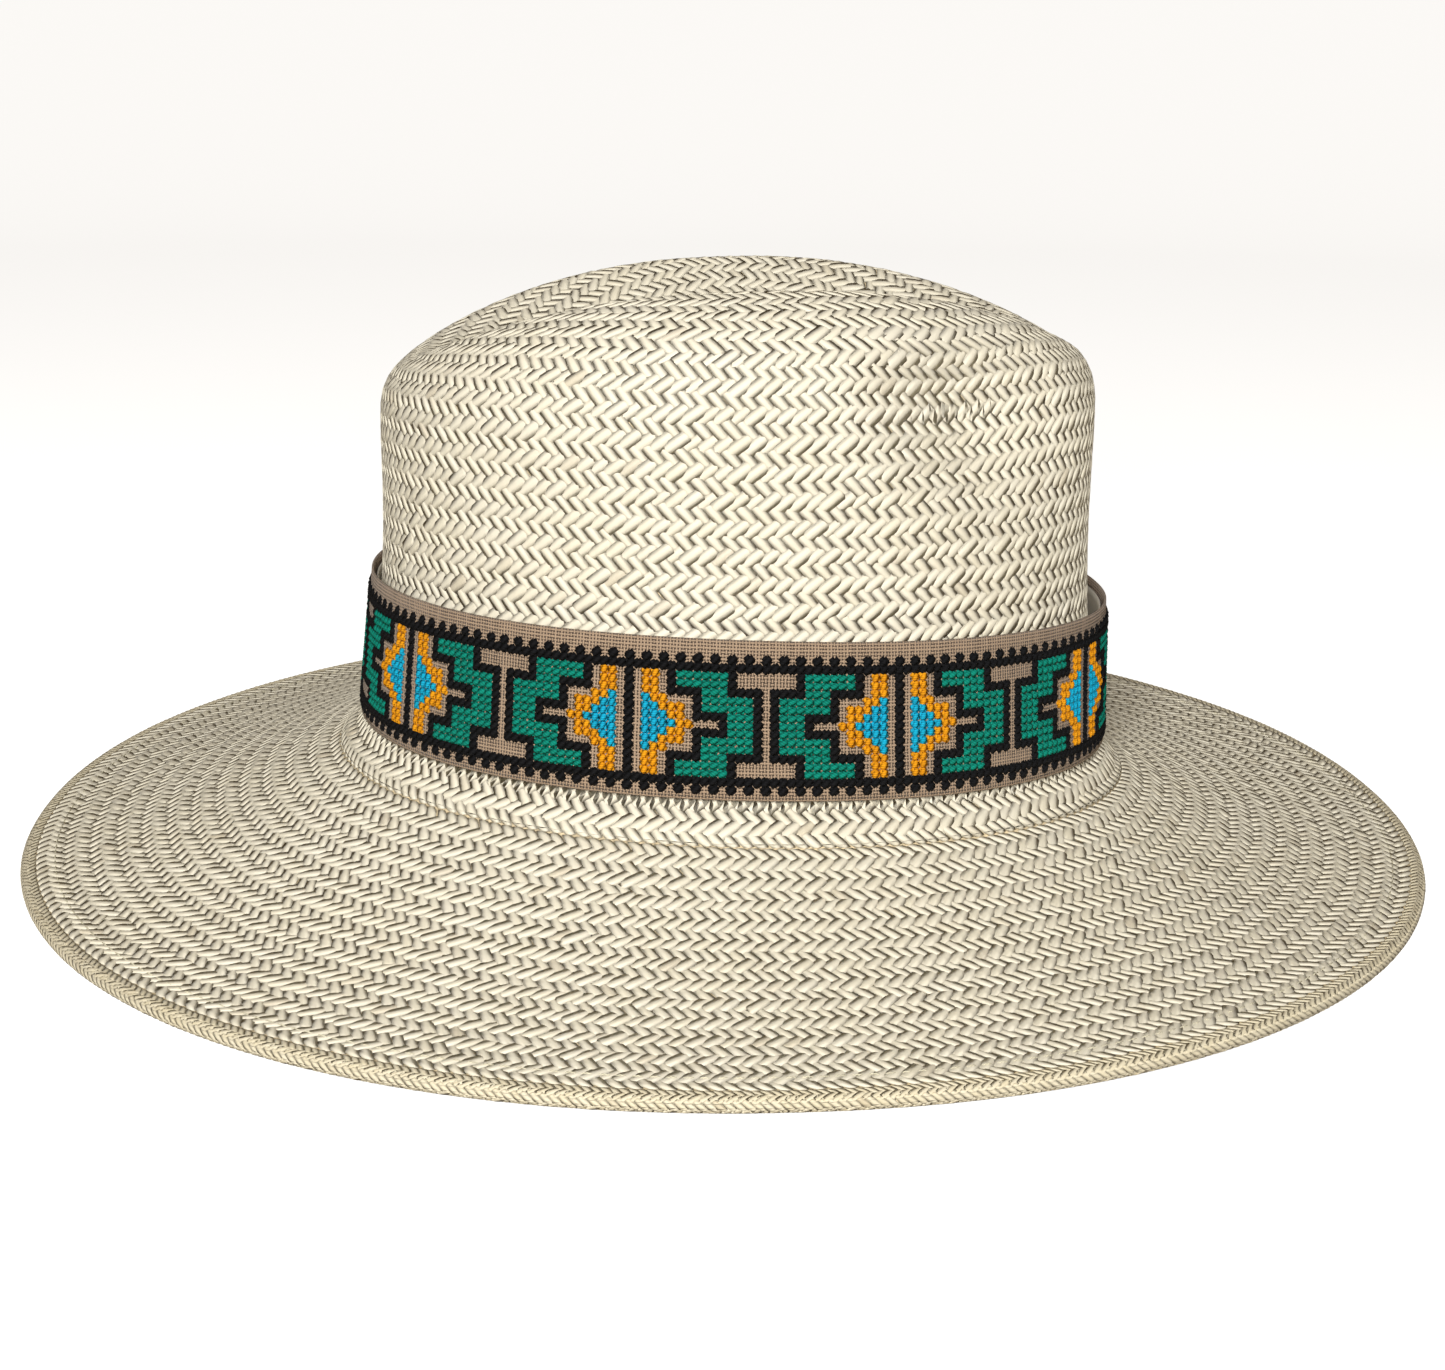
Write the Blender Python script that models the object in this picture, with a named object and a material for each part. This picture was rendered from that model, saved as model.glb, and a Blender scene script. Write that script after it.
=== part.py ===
"""Panama hat: a woven straw crown and brim, with a loose embroidered linen band.

Metres, +Z up, the front of the hat towards +X, standing on the edge of its brim.
Most pieces are rings that follow the oval of the head, so each is a closed
cross-section carried round the hat. AROUND sections make one turn.
"""

import math

import bpy
import numpy as np

# Gaps and mesh fineness
GAP = 0.0003
AROUND = 48
SHARP_DEGREES = 40
CROWN_DEGREES = (12, 24, 36, 46, 55, 63, 70, 77, 84, 90)
WALL_SHARES = (0.25, 0.5, 0.75, 1.0)
BREAK_SHARES = (0.15, 0.3, 0.5, 0.75)
BRIM_RINGS = 7

# Head oval, measured inside the sweatband: a 58 cm head
HEAD_HALF_LENGTH = 0.1014
HEAD_HALF_WIDTH = 0.0830
OVAL_POWER = 2.07

# Straw
STRAW = 0.0012
CROWN_HEIGHT = 0.1586
CROWN_TAPER_LENGTH = 0.0052
CROWN_TAPER_WIDTH = 0.0044
CROWN_SHIFT = 0.0025
WALL_ABOVE_SWEATBAND = 0.0344
CREST_FALL = 2.27
CREST_FORWARD = 0.0093
SHOULDER_POWER_SIDE = 4.2
SHOULDER_POWER_END = 7.5

# Long dent along the top, and the two pinches at the front
CREASE_DEPTH = 0.029
CREASE_FROM_END = 0.0031
CREASE_FROM_SIDE = 0.0281
CREASE_POWER = 1.36
PINCH_DEPTH = 0.0146
PINCH_FORWARD = 0.050
PINCH_HALF_LENGTH = 0.030
PINCH_EDGE_FORWARD = 0.016
PINCH_EDGE_SLOPE = 0.7
PINCH_EDGE_SOFTNESS = 0.034
PINCH_ABOVE_WALL = 0.0246
PINCH_HALF_HEIGHT = 0.019

# Brim
BRIM_HALF_LENGTH = 0.1965
BRIM_HALF_WIDTH = 0.1865
BREAK_HEIGHT = 0.0283
BREAK_LEAN = 0.0036
BREAK_SADDLE = 0.0012
EDGE_RISE = 0.00112
EDGE_LEVEL_SHARE = 0.3
BRIM_CURVE_REAR = 1.7
BRIM_CURVE_FRONT = 2.5
BREAK_UP = 0.008
BREAK_OUT = 0.009
HEM_WIDTH = 0.011
REST_WIDTH = 0.003
HEM_THREAD_IN = 0.0085
WIRE_RADIUS = 0.0005

# Sweatband and what is sewn to it
SWEATBAND = 0.0007
SWEATBAND_HEIGHT = 0.038
SWEATBAND_TURN = 0.005
SWEATBAND_MIDDLE = 0.6
REED_RADIUS = 0.0005
THREAD = 0.0004
SWEATBAND_SEAM_HEIGHT = 0.011
TAPE_HALF_WIDTH = 0.006
TAPE_BELOW_TOP = 0.002

# Slip-on band
BAND_FOOT = 0.0050
BAND_EASE = 0.0006
BAND_HEIGHT = 0.0402
BAND_CLOSING_IN_FRONT = 0.0022
BAND_CLOSING_IN_REAR = 0.0045
LINING = 0.0004
LINEN = 0.0006
YARN = 0.0004
YARN_WIDTH = 0.0012
STITCH_DEPTH = 0.0007
STITCH_FOOT = 0.0017
STITCH_HEIGHT = 0.0347
LINING_SHORT = 0.0020

# Values that follow from the ones above
STRAW_HALF_LENGTH = HEAD_HALF_LENGTH + SWEATBAND + GAP + STRAW
STRAW_HALF_WIDTH = HEAD_HALF_WIDTH + SWEATBAND + GAP + STRAW
CROWN_TOP_HALF_LENGTH = STRAW_HALF_LENGTH - CROWN_TAPER_LENGTH
CROWN_TOP_HALF_WIDTH = STRAW_HALF_WIDTH - CROWN_TAPER_WIDTH
CREASE_HALF_LENGTH = CROWN_TOP_HALF_LENGTH - CREASE_FROM_END
CREASE_HALF_WIDTH = CROWN_TOP_HALF_WIDTH - CREASE_FROM_SIDE
FOLD_RADIUS = STRAW + GAP + WIRE_RADIUS
SHOULDER_HEIGHT = BREAK_HEIGHT + BREAK_SADDLE + SWEATBAND_HEIGHT + WALL_ABOVE_SWEATBAND
PINCH_HEIGHT = SHOULDER_HEIGHT + PINCH_ABOVE_WALL
FRONT_REACH = BRIM_HALF_LENGTH - STRAW_HALF_LENGTH
TURN = np.linspace(0.0, 2 * math.pi, AROUND, endpoint=False)
FRONTNESS = np.cos(TURN)
SIDENESS = np.sin(TURN)


def clear_scene():
    for item in list(bpy.data.objects):
        bpy.data.objects.remove(item)


def material(name, colour, roughness, metallic=0.0):
    finish = bpy.data.materials.new(name)
    finish.use_nodes = True
    shader = finish.node_tree.nodes["Principled BSDF"]
    shader.inputs["Base Color"].default_value = (*colour, 1.0)
    shader.inputs["Roughness"].default_value = roughness
    shader.inputs["Metallic"].default_value = metallic
    return finish


# ---------------------------------------------------------------- the hat's shape


def oval(half_length, half_width, shift=CROWN_SHIFT):
    """Points of a super-ellipse: each axis is the sine or cosine to the power 2/n."""
    power = 2 / OVAL_POWER
    x = shift + half_length * np.sign(FRONTNESS) * np.abs(FRONTNESS) ** power
    y = half_width * np.sign(SIDENESS) * np.abs(SIDENESS) ** power
    return x, y


def row(x, y, z):
    return np.stack(np.broadcast_arrays(x, y, z), axis=-1).astype(float)


def break_height():
    """Height where crown and brim meet: lower in front, and higher at both sides."""
    return BREAK_HEIGHT - BREAK_LEAN * FRONTNESS - BREAK_SADDLE * np.cos(2 * TURN)


def edge_height():
    """Underside of the brim's edge: flat at front and rear, raised at both sides."""
    side = (SIDENESS**2 - EDGE_LEVEL_SHARE) / (1 - EDGE_LEVEL_SHARE)
    return EDGE_RISE * np.clip(side, 0.0, None)


def crown_row(angle):
    """One ring of the crown's top, from the middle (angle 0) to the shoulder (pi/2)."""
    power = SHOULDER_POWER_SIDE + (SHOULDER_POWER_END - SHOULDER_POWER_SIDE) * FRONTNESS**2
    out = math.sin(angle) ** (2 / power)
    x, y = oval(CROWN_TOP_HALF_LENGTH * out, CROWN_TOP_HALF_WIDTH * out)
    crest = CROWN_HEIGHT - CREST_FALL * (x - CREST_FORWARD) ** 2
    z = SHOULDER_HEIGHT + (crest - SHOULDER_HEIGHT) * math.cos(angle) ** (2 / power)
    return dented(row(x, y, z))


def dented(points):
    """The crown with its long dent pressed down and its two pinches pressed in."""
    x, y, z = points[:, 0] - CROWN_SHIFT, points[:, 1], points[:, 2]
    inside = 1 - (x / CREASE_HALF_LENGTH) ** 2 - (y / CREASE_HALF_WIDTH) ** 2
    drop = CREASE_DEPTH * np.clip(inside, 0.0, None) ** CREASE_POWER
    below = PINCH_HEIGHT - z
    edge = PINCH_EDGE_FORWARD + PINCH_EDGE_SLOPE * np.clip(below, 0.0, None)
    step = np.clip((x - edge) / PINCH_EDGE_SOFTNESS, 0.0, 1.0)
    ahead = np.clip(x - PINCH_FORWARD, 0.0, None) / PINCH_HALF_LENGTH
    side = np.clip(np.abs(y) / CREASE_HALF_WIDTH, 0.0, 1.0) ** 2
    push = PINCH_DEPTH * step**2 * (3 - 2 * step) * side
    push = push * np.exp(-(ahead**2) - (below / PINCH_HALF_HEIGHT) ** 2)
    return row(points[:, 0], y - np.sign(y) * push, z - drop)


def wall_oval(height):
    """Half length and half width of the crown's wall, this high above the ground."""
    foot = break_height() + BREAK_UP
    down = np.clip((SHOULDER_HEIGHT - height) / (SHOULDER_HEIGHT - foot), 0.0, 1.0)
    length = CROWN_TOP_HALF_LENGTH + (STRAW_HALF_LENGTH - CROWN_TOP_HALF_LENGTH) * down**2
    width = CROWN_TOP_HALF_WIDTH + (STRAW_HALF_WIDTH - CROWN_TOP_HALF_WIDTH) * down**2
    return length, width


def wall_row(share):
    """One ring of the wall, from the shoulder (share 0) to the break (share 1)."""
    foot = break_height() + BREAK_UP
    z = SHOULDER_HEIGHT + (foot - SHOULDER_HEIGHT) * share
    x, y = oval(*wall_oval(z))
    return dented(row(x, y, z))


def brim_height(inward):
    """Top of the brim, this far in from its edge: a power curve that flattens outwards."""
    power = BRIM_CURVE_REAR + (BRIM_CURVE_FRONT - BRIM_CURVE_REAR) * (1 + FRONTNESS) / 2
    rim = edge_height() + 2 * FOLD_RADIUS
    share = np.clip((inward - FOLD_RADIUS) / (FRONT_REACH - FOLD_RADIUS), 0.0, 1.0)
    return rim + (break_height() - rim) * share**power


def brim_row(inward, below=0.0):
    """One ring of the brim, this far in from its edge and this far below its top."""
    share = inward / FRONT_REACH
    length = BRIM_HALF_LENGTH + (STRAW_HALF_LENGTH - BRIM_HALF_LENGTH) * share
    width = BRIM_HALF_WIDTH + (STRAW_HALF_WIDTH - BRIM_HALF_WIDTH) * share
    x, y = oval(length, width, CROWN_SHIFT * share)
    return row(x, y, brim_height(inward) - below)


def break_row(share):
    """The rounded corner between wall (share 0) and brim (share 1), a parabola."""
    out = BREAK_OUT * share**2
    low = brim_height(FRONT_REACH - BREAK_OUT)
    x, y = oval(STRAW_HALF_LENGTH + out, STRAW_HALF_WIDTH + out)
    brim = brim_row(FRONT_REACH - BREAK_OUT)
    z = break_height() + BREAK_UP * (1 - share) ** 2 + (low - break_height()) * share**2
    blend = share**2
    return row(x + (brim[:, 0] - x) * blend, y + (brim[:, 1] - y) * blend, z)


def upper_rows():
    """The straw's upper face, ring by ring from the crown's middle to the hem."""
    rows = [crown_row(math.radians(angle)) for angle in CROWN_DEGREES]
    rows += [wall_row(share) for share in WALL_SHARES]
    rows += [break_row(share) for share in BREAK_SHARES]
    first = FRONT_REACH - BREAK_OUT
    last = HEM_WIDTH + 2 * REST_WIDTH
    rows += [brim_row(inward) for inward in np.linspace(first, last, BRIM_RINGS)]
    return np.array(rows)


def inward_normals(rows):
    """Unit vectors into the straw, from the cross product of the two grid directions."""
    around = np.roll(rows, -1, axis=1) - np.roll(rows, 1, axis=1)
    along = np.gradient(rows, axis=0)
    normal = np.cross(around, along)
    return normal / np.linalg.norm(normal, axis=-1, keepdims=True)


# ---------------------------------------------------------------- building meshes


def faces_between(first, second, count):
    return [
        (first + i, first + (i + 1) % count, second + (i + 1) % count, second + i)
        for i in range(count)
    ]


def add_object(name, points, faces, finish):
    """A mesh object whose faces point outwards, smooth except at sharp corners."""
    mesh = bpy.data.meshes.new(name)
    mesh.from_pydata(points, [], faces)
    if signed_volume(mesh) < 0:
        mesh.flip_normals()
    mesh.materials.append(finish)
    mesh.shade_smooth()
    mesh.set_sharp_from_angle(angle=math.radians(SHARP_DEGREES))
    item = bpy.data.objects.new(name, mesh)
    bpy.context.scene.collection.objects.link(item)
    return item


def signed_volume(mesh):
    mesh.calc_loop_triangles()
    corners = [[mesh.vertices[i].co for i in face.vertices] for face in mesh.loop_triangles]
    return sum(a.dot(b.cross(c)) for a, b, c in corners)


def add_ring(name, rows, finish):
    """A closed cross-section, given corner by corner, carried once round the hat."""
    rows = np.array(rows)
    count = rows.shape[1]
    faces = []
    for i in range(len(rows)):
        faces += faces_between(i * count, (i + 1) % len(rows) * count, count)
    return add_object(name, rows.reshape(-1, 3), faces, finish)


def add_shell(name, rows, finish):
    """Rings from one middle point to another, closed by a fan of faces at each."""
    rows = np.array(rows)
    count = rows.shape[1]
    faces = []
    for i in range(len(rows) - 1):
        faces += faces_between(i * count, (i + 1) * count, count)
    points = np.vstack([rows.reshape(-1, 3), rows[0].mean(axis=0), rows[-1].mean(axis=0)])
    last = (len(rows) - 1) * count
    for i in range(count):
        after = (i + 1) % count
        faces.append((len(points) - 2, after, i))
        faces.append((len(points) - 1, last + i, last + after))
    return add_object(name, points, faces, finish)


def circle(radius, sides):
    """Corners of a round section: pairs of (across, up)."""
    angles = [2 * math.pi * (i + 0.5) / sides for i in range(sides)]
    return [(radius * math.cos(angle), radius * math.sin(angle)) for angle in angles]


# ---------------------------------------------------------------- straw and its edge


def hem_rows():
    """The brim's edge, turned under round its wire: top, fold, underside, then the slot."""
    stack = 2 * STRAW + GAP
    rows = [brim_row(HEM_WIDTH), brim_row(HEM_WIDTH / 2), brim_row(FOLD_RADIUS)]
    rows += [fold_row(FOLD_RADIUS, angle) for angle in (60, 30, 0, -30, -60)]
    rows.append(fold_row(FOLD_RADIUS, -90))
    rows.append(rest_row(FOLD_RADIUS + REST_WIDTH))
    rows.append(brim_row(HEM_WIDTH, stack))
    rows.append(brim_row(HEM_WIDTH, STRAW + GAP))
    rows.append(brim_row(2 * REST_WIDTH, STRAW + GAP))
    slot = FOLD_RADIUS - STRAW
    rows += [fold_row(slot, angle) for angle in (-90, -45, 0, 45, 90)]
    rows.append(brim_row(2 * REST_WIDTH, STRAW))
    rows.append(brim_row(HEM_WIDTH, STRAW))
    return rows


def fold_row(radius, degrees):
    """One ring of a round fold, centred on the wire in the brim's edge."""
    angle = math.radians(degrees)
    x, y, _ = brim_row(FOLD_RADIUS - radius * math.cos(angle)).T
    return row(x, y, edge_height() + FOLD_RADIUS + radius * math.sin(angle))


def rest_row(inward):
    """Inner side of the level strip that the hat stands on."""
    x, y, _ = brim_row(inward).T
    return row(x, y, edge_height())


def make_straw_body(finish):
    upper = upper_rows()
    lower = upper + STRAW * inward_normals(upper)
    rows = [*upper, *hem_rows(), *lower[::-1]]
    return add_shell("straw_body", rows, finish)


def make_brim_wire(finish):
    rows = []
    for across, up in circle(WIRE_RADIUS, 6):
        x, y, _ = brim_row(FOLD_RADIUS + across).T
        rows.append(row(x, y, edge_height() + FOLD_RADIUS + up))
    return add_ring("brim_wire", rows, finish)


def make_brim_stitching(finish):
    section = ((0.0, GAP), (0.0, GAP + THREAD), (THREAD, GAP + THREAD), (THREAD, GAP))
    rows = [brim_row(HEM_THREAD_IN + across, -up) for across, up in section]
    return add_ring("brim_stitching", rows, finish)


# ---------------------------------------------------------------- inside the crown


def inside_row(inset, up):
    """A ring inside the crown, this far in from the straw and this high over the break."""
    z = break_height() + up
    length, width = wall_oval(z)
    x, y = oval(length - STRAW - inset, width - STRAW - inset)
    return row(x, y, z)


def sweatband_section():
    """Corners of the sweatband: one tall leaf, turned outwards round its reed below.

    The turn is a round fold, drawn with one corner halfway down each of its sides.
    """
    back = GAP
    face = GAP + SWEATBAND
    pocket = REED_RADIUS + GAP
    middle = face + pocket
    low = SWEATBAND + pocket
    deep = middle + pocket
    turned = SWEATBAND_TURN
    free = turned + BREAK_UP
    halfway = SWEATBAND_MIDDLE * SWEATBAND_HEIGHT
    bulge = 0.6 * (pocket + SWEATBAND)
    corner = 0.7 * pocket
    return (
        (back, SWEATBAND_HEIGHT),
        (face, SWEATBAND_HEIGHT),
        (face, halfway),
        (face, free),
        (face + pocket, turned + SWEATBAND),
        (deep + SWEATBAND, low),
        (middle + bulge, 0.3 * low),
        (middle, 0.0),
        (middle - bulge, 0.3 * low),
        (back, low),
        (back, turned),
        (face, turned),
        (face, low),
        (middle - corner, low - corner),
        (middle, low - pocket),
        (middle + corner, low - corner),
        (deep, low),
        (face + GAP, turned + SWEATBAND),
        (back, free),
        (back, halfway),
    )


def make_sweatband(finish):
    rows = [inside_row(inset, up) for inset, up in sweatband_section()]
    return add_ring("sweatband", rows, finish)


def make_sweatband_reed(finish):
    middle = GAP + SWEATBAND + REED_RADIUS + GAP
    low = SWEATBAND + REED_RADIUS + GAP
    rows = [inside_row(middle + across, low + up) for across, up in circle(REED_RADIUS, 6)]
    return add_ring("sweatband_reed", rows, finish)


def make_sweatband_stitching(finish):
    near = GAP + SWEATBAND + GAP
    low = SWEATBAND_SEAM_HEIGHT + BREAK_UP
    high = low + THREAD
    section = ((near, low), (near + THREAD, low), (near + THREAD, high), (near, high))
    rows = [inside_row(inset, up) for inset, up in section]
    return add_ring("sweatband_stitching", rows, finish)


def make_seam_tape(finish):
    """A strip down the sweatband's join, at the back of the head."""
    near = GAP + SWEATBAND + GAP
    low = SWEATBAND_SEAM_HEIGHT + BREAK_UP + THREAD + 2 * GAP
    high = SWEATBAND_HEIGHT - TAPE_BELOW_TOP
    section = ((near, low), (near + THREAD, low), (near + THREAD, high), (near, high))
    across = np.linspace(-1.0, 1.0, 5) * TAPE_HALF_WIDTH
    rows = []
    for inset, up in section:
        ring = inside_row(inset, up)
        order = np.argsort(ring[:, 1])
        rear = order[ring[order, 0] < 0]
        x = np.interp(across, ring[rear, 1], ring[rear, 0])
        z = np.interp(across, ring[rear, 1], ring[rear, 2])
        rows.append(row(x, across, z))
    points = np.array(rows).reshape(-1, 3)
    count = len(across)
    faces = [(0, count, 2 * count, 3 * count)]
    faces.append(tuple(k * count + count - 1 for k in (3, 2, 1, 0)))
    for i in range(4):
        first, second = i * count, (i + 1) % 4 * count
        for j in range(count - 1):
            faces.append((first + j, first + j + 1, second + j + 1, second + j))
    return add_object("sweatband_seam_tape", points, faces, finish)


# ---------------------------------------------------------------- slip-on band


def band_row(out, up):
    """A ring of the band, this far out from the straw's foot and this high in the band."""
    rearness = (1 - FRONTNESS) / 2
    closing_in = BAND_CLOSING_IN_FRONT + (BAND_CLOSING_IN_REAR - BAND_CLOSING_IN_FRONT) * rearness
    away = out - closing_in * up / BAND_HEIGHT
    x, y = oval(STRAW_HALF_LENGTH + away, STRAW_HALF_WIDTH + away)
    return row(x, y, break_height() + BAND_FOOT + up)


def make_band_ring(name, out, thick, low, high, finish):
    """One layer of the band, between two distances out and two heights."""
    section = ((out, low), (out + thick, low), (out + thick, high), (out, high))
    rows = [band_row(distance, up) for distance, up in section]
    return add_ring(name, rows, finish)


def band_layers():
    """How far out each layer of the band starts, counted from the straw's foot."""
    lining = BREAK_OUT * (1 - math.sqrt(BAND_FOOT / BREAK_UP)) ** 2 + BAND_EASE
    yarn = lining + LINING + GAP
    linen = yarn + YARN + GAP
    stitches = linen + LINEN + GAP
    return lining, yarn, linen, stitches


def make_band(linen_finish, lining_finish, yarn_finishes):
    lining, yarn, linen, stitches = band_layers()
    make_band_ring("band_lining", lining, LINING, 0.0, BAND_HEIGHT - LINING_SHORT, lining_finish)
    make_band_ring("linen_band", linen, LINEN, 0.0, BAND_HEIGHT, linen_finish)
    top = STITCH_FOOT + STITCH_HEIGHT
    black = yarn_finishes["black"]
    make_band_ring("embroidery_black", stitches, STITCH_DEPTH, STITCH_FOOT, top, black)
    for place, colour in enumerate(("orange", "blue", "teal"), start=1):
        low = STITCH_FOOT + STITCH_HEIGHT * place / 4
        name = "yarn_" + colour
        make_band_ring(name, yarn, YARN, low, low + YARN_WIDTH, yarn_finishes[colour])


def main():
    clear_scene()
    straw = material("straw", (0.78, 0.70, 0.52), 0.62)
    wire = material("spring_wire", (0.45, 0.45, 0.46), 0.35, 1.0)
    thread = material("sewing_thread", (0.80, 0.74, 0.60), 0.70)
    tape = material("sweatband_tape", (0.62, 0.50, 0.36), 0.75)
    reed = material("plastic_reed", (0.85, 0.85, 0.82), 0.40)
    linen = material("linen", (0.44, 0.35, 0.24), 0.90)
    lining = material("band_stiffener", (0.70, 0.66, 0.58), 0.85)
    yarns = {
        "black": material("yarn_black", (0.012, 0.012, 0.013), 0.80),
        "teal": material("yarn_teal", (0.005, 0.20, 0.14), 0.80),
        "orange": material("yarn_orange", (0.85, 0.28, 0.01), 0.80),
        "blue": material("yarn_blue", (0.01, 0.34, 0.52), 0.80),
    }
    make_straw_body(straw)
    make_brim_wire(wire)
    make_brim_stitching(thread)
    make_sweatband(tape)
    make_sweatband_reed(reed)
    make_sweatband_stitching(thread)
    make_seam_tape(tape)
    make_band(linen, lining, yarns)


main()
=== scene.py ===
"""Looks of a panama hat with an embroidered slip-on band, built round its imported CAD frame.

Metres, +Z up, the front of the hat towards +X. Each ring of the hat follows the oval of the
head, so a surface is a stack of rings. Skin stores such a stack and reads a point back at
any share of the way round and along it, and the straw leaves and stitches are laid on it.
"""

import math

import bpy
import numpy as np
from mathutils import Matrix, Vector


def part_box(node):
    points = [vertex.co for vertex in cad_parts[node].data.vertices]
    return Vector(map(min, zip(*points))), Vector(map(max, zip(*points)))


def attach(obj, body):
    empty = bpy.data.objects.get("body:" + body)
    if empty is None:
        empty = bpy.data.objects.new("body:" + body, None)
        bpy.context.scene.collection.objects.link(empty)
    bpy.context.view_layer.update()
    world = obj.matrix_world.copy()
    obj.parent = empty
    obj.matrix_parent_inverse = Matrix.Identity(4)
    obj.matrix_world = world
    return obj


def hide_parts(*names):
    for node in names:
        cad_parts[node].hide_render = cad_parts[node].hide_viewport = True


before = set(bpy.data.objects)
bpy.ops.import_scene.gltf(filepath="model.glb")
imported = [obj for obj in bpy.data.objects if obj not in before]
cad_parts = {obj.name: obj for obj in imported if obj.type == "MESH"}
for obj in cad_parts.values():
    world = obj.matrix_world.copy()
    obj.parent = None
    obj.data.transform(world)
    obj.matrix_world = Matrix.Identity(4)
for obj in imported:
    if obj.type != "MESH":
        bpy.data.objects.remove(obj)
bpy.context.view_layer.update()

STRAW_LOW, STRAW_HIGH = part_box("straw_body")

bl_info = {
    "name": "Panama Hat",
    "version": (1, 0, 0),
    "blender": (4, 5, 0),
    "location": "3D View > Sidebar > Hat",
    "description": "Plaited straw, linen band and cross-stitch for a panama hat",
    "category": "Object",
}


# ---------------------------------------------------------------- sizes and colours


def length(name, description, default):
    return bpy.props.FloatProperty(
        name=name, description=description, default=default, unit="LENGTH", precision=5
    )


def number(name, description, default):
    return bpy.props.FloatProperty(name=name, description=description, default=default)


def power(name, description, default):
    return bpy.props.FloatProperty(
        name=name, description=description, default=default, unit="POWER"
    )


def angle(name, description, degrees):
    return bpy.props.FloatProperty(
        name=name, description=description, default=math.radians(degrees), subtype="ANGLE"
    )


def colour(name, description, default):
    return bpy.props.FloatVectorProperty(
        name=name, description=description, default=default, subtype="COLOR", min=0.0, max=1.0
    )


class HatShape(bpy.types.PropertyGroup):
    """Sizes of the straw body."""

    brim_half_length: length(
        "Brim half length", "Front to rear", (STRAW_HIGH.x - STRAW_LOW.x) / 2
    )
    brim_half_width: length("Brim half width", "Side to side", (STRAW_HIGH.y - STRAW_LOW.y) / 2)
    foot_half_length: length("Foot half length", "Outside of the crown at its foot", 0.1036)
    foot_half_width: length("Foot half width", "Outside of the crown at its foot", 0.0852)
    oval_power: number("Oval power", "2 is an ellipse, more is boxier", 2.07)
    crown_shift: length("Crown shift", "Crown's centre ahead of the brim's", 0.0025)
    taper_length: length("Taper in length", "Top's half length under the foot's", 0.0052)
    taper_width: length("Taper in width", "Top's half width under the foot's", 0.0044)
    crown_height: length("Crown height", "Highest line of the undented crown", 0.1586)
    shoulder_height: length("Shoulder height", "Where the wall starts to round over", 0.1019)
    crest_fall: number("Crest fall", "Curvature of the crown's top line", 2.27)
    crest_forward: length("Crest forward", "Top line's highest point", 0.0093)
    shoulder_side: number("Shoulder power, sides", "Roundness of the shoulder", 4.2)
    shoulder_end: number("Shoulder power, ends", "Roundness of the shoulder", 7.5)
    crease_depth: length("Crease depth", "Long dent on top", 0.029)
    crease_half_length: length("Crease half length", "Long dent on top", 0.0953)
    crease_half_width: length("Crease half width", "Long dent on top", 0.0527)
    crease_power: number("Crease power", "Steepness of the long dent's sides", 1.36)
    pinch_depth: length("Pinch depth", "Each side's push inwards", 0.0146)
    pinch_forward: length("Pinch forward", "Where the push starts to fade", 0.050)
    pinch_half_length: length("Pinch half length", "How fast it fades forwards", 0.030)
    pinch_edge: length("Pinch edge", "Ridge behind the pinch", 0.016)
    pinch_slope: number("Pinch slope", "Ridge's lean forwards going down", 0.7)
    pinch_softness: length("Pinch softness", "Width of the ridge", 0.034)
    pinch_height: length("Pinch height", "Middle of the pinch", 0.1265)
    pinch_half_height: length("Pinch half height", "How fast it fades downwards", 0.019)
    break_height: length("Break height", "Where crown and brim meet", 0.0283)
    break_lean: length("Break lean", "Lower in front", 0.0036)
    break_saddle: length("Break saddle", "Higher at both sides", 0.0012)
    break_up: length("Break, up", "Round corner's height", 0.008)
    break_out: length("Break, out", "Round corner's width", 0.009)
    brim_curve_rear: number("Brim curve, rear", "Power of the brim's profile", 1.7)
    brim_curve_front: number("Brim curve, front", "Power of the brim's profile", 2.5)
    edge_rise: length("Edge rise", "Edge lifts at both sides", 0.00112)
    edge_level: number("Edge level share", "How much of the edge lies level", 0.3)
    fold_radius: length("Fold radius", "Round edge of the brim", 0.002)
    rest_width: length("Rest width", "Level strip that the hat stands on", 0.003)
    hem_width: length("Hem width", "Turned-under straw", 0.011)
    hem_thread_in: length("Hem thread in", "Sewn line's distance from the edge", 0.0085)
    hem_groove: length("Hem groove", "Depth that the sewn line pulls in", 0.00012)
    hem_groove_width: length("Hem groove width", "Half width of that groove", 0.0012)
    straw: length("Straw", "Thickness of the plait", 0.0012)
    gap: length("Gap", "Clearance between layers", 0.0003)


class PlaitSizes(bpy.types.PropertyGroup):
    """Sizes of the herringbone plait."""

    pitch: length("Leaf pitch", "Distance between leaves along a ring", 0.00345)
    edge_pitch: length("Edge leaf pitch", "Distance between the fine leaves", 0.0021)
    edge_start: length("Edge start", "Where the fine leaves begin, from the edge", 0.0040)
    reach: number("Reach", "Leaf's length over its visible length", 1.36)
    wide: number("Width", "Leaf's width over its pitch", 1.24)
    top: length("Leaf top", "Middle of a leaf above the surface", 0.00008)
    side: length("Leaf side", "Long edges of a leaf", -0.00002)
    end: length("Leaf end", "Tucked ends of a leaf", -0.00017)
    bed: length("Bed", "Shaded inner straw under the leaves", -0.00034)
    skew: number("Skew", "How much flatter one lean of leaf is than the other", -0.16)
    pairing: number("Pairing", "Rings' shift towards their pair, which opens the pits", 0.022)
    slack: number("Count slack", "Pitch's drift before strands are added", 0.12)


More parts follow.
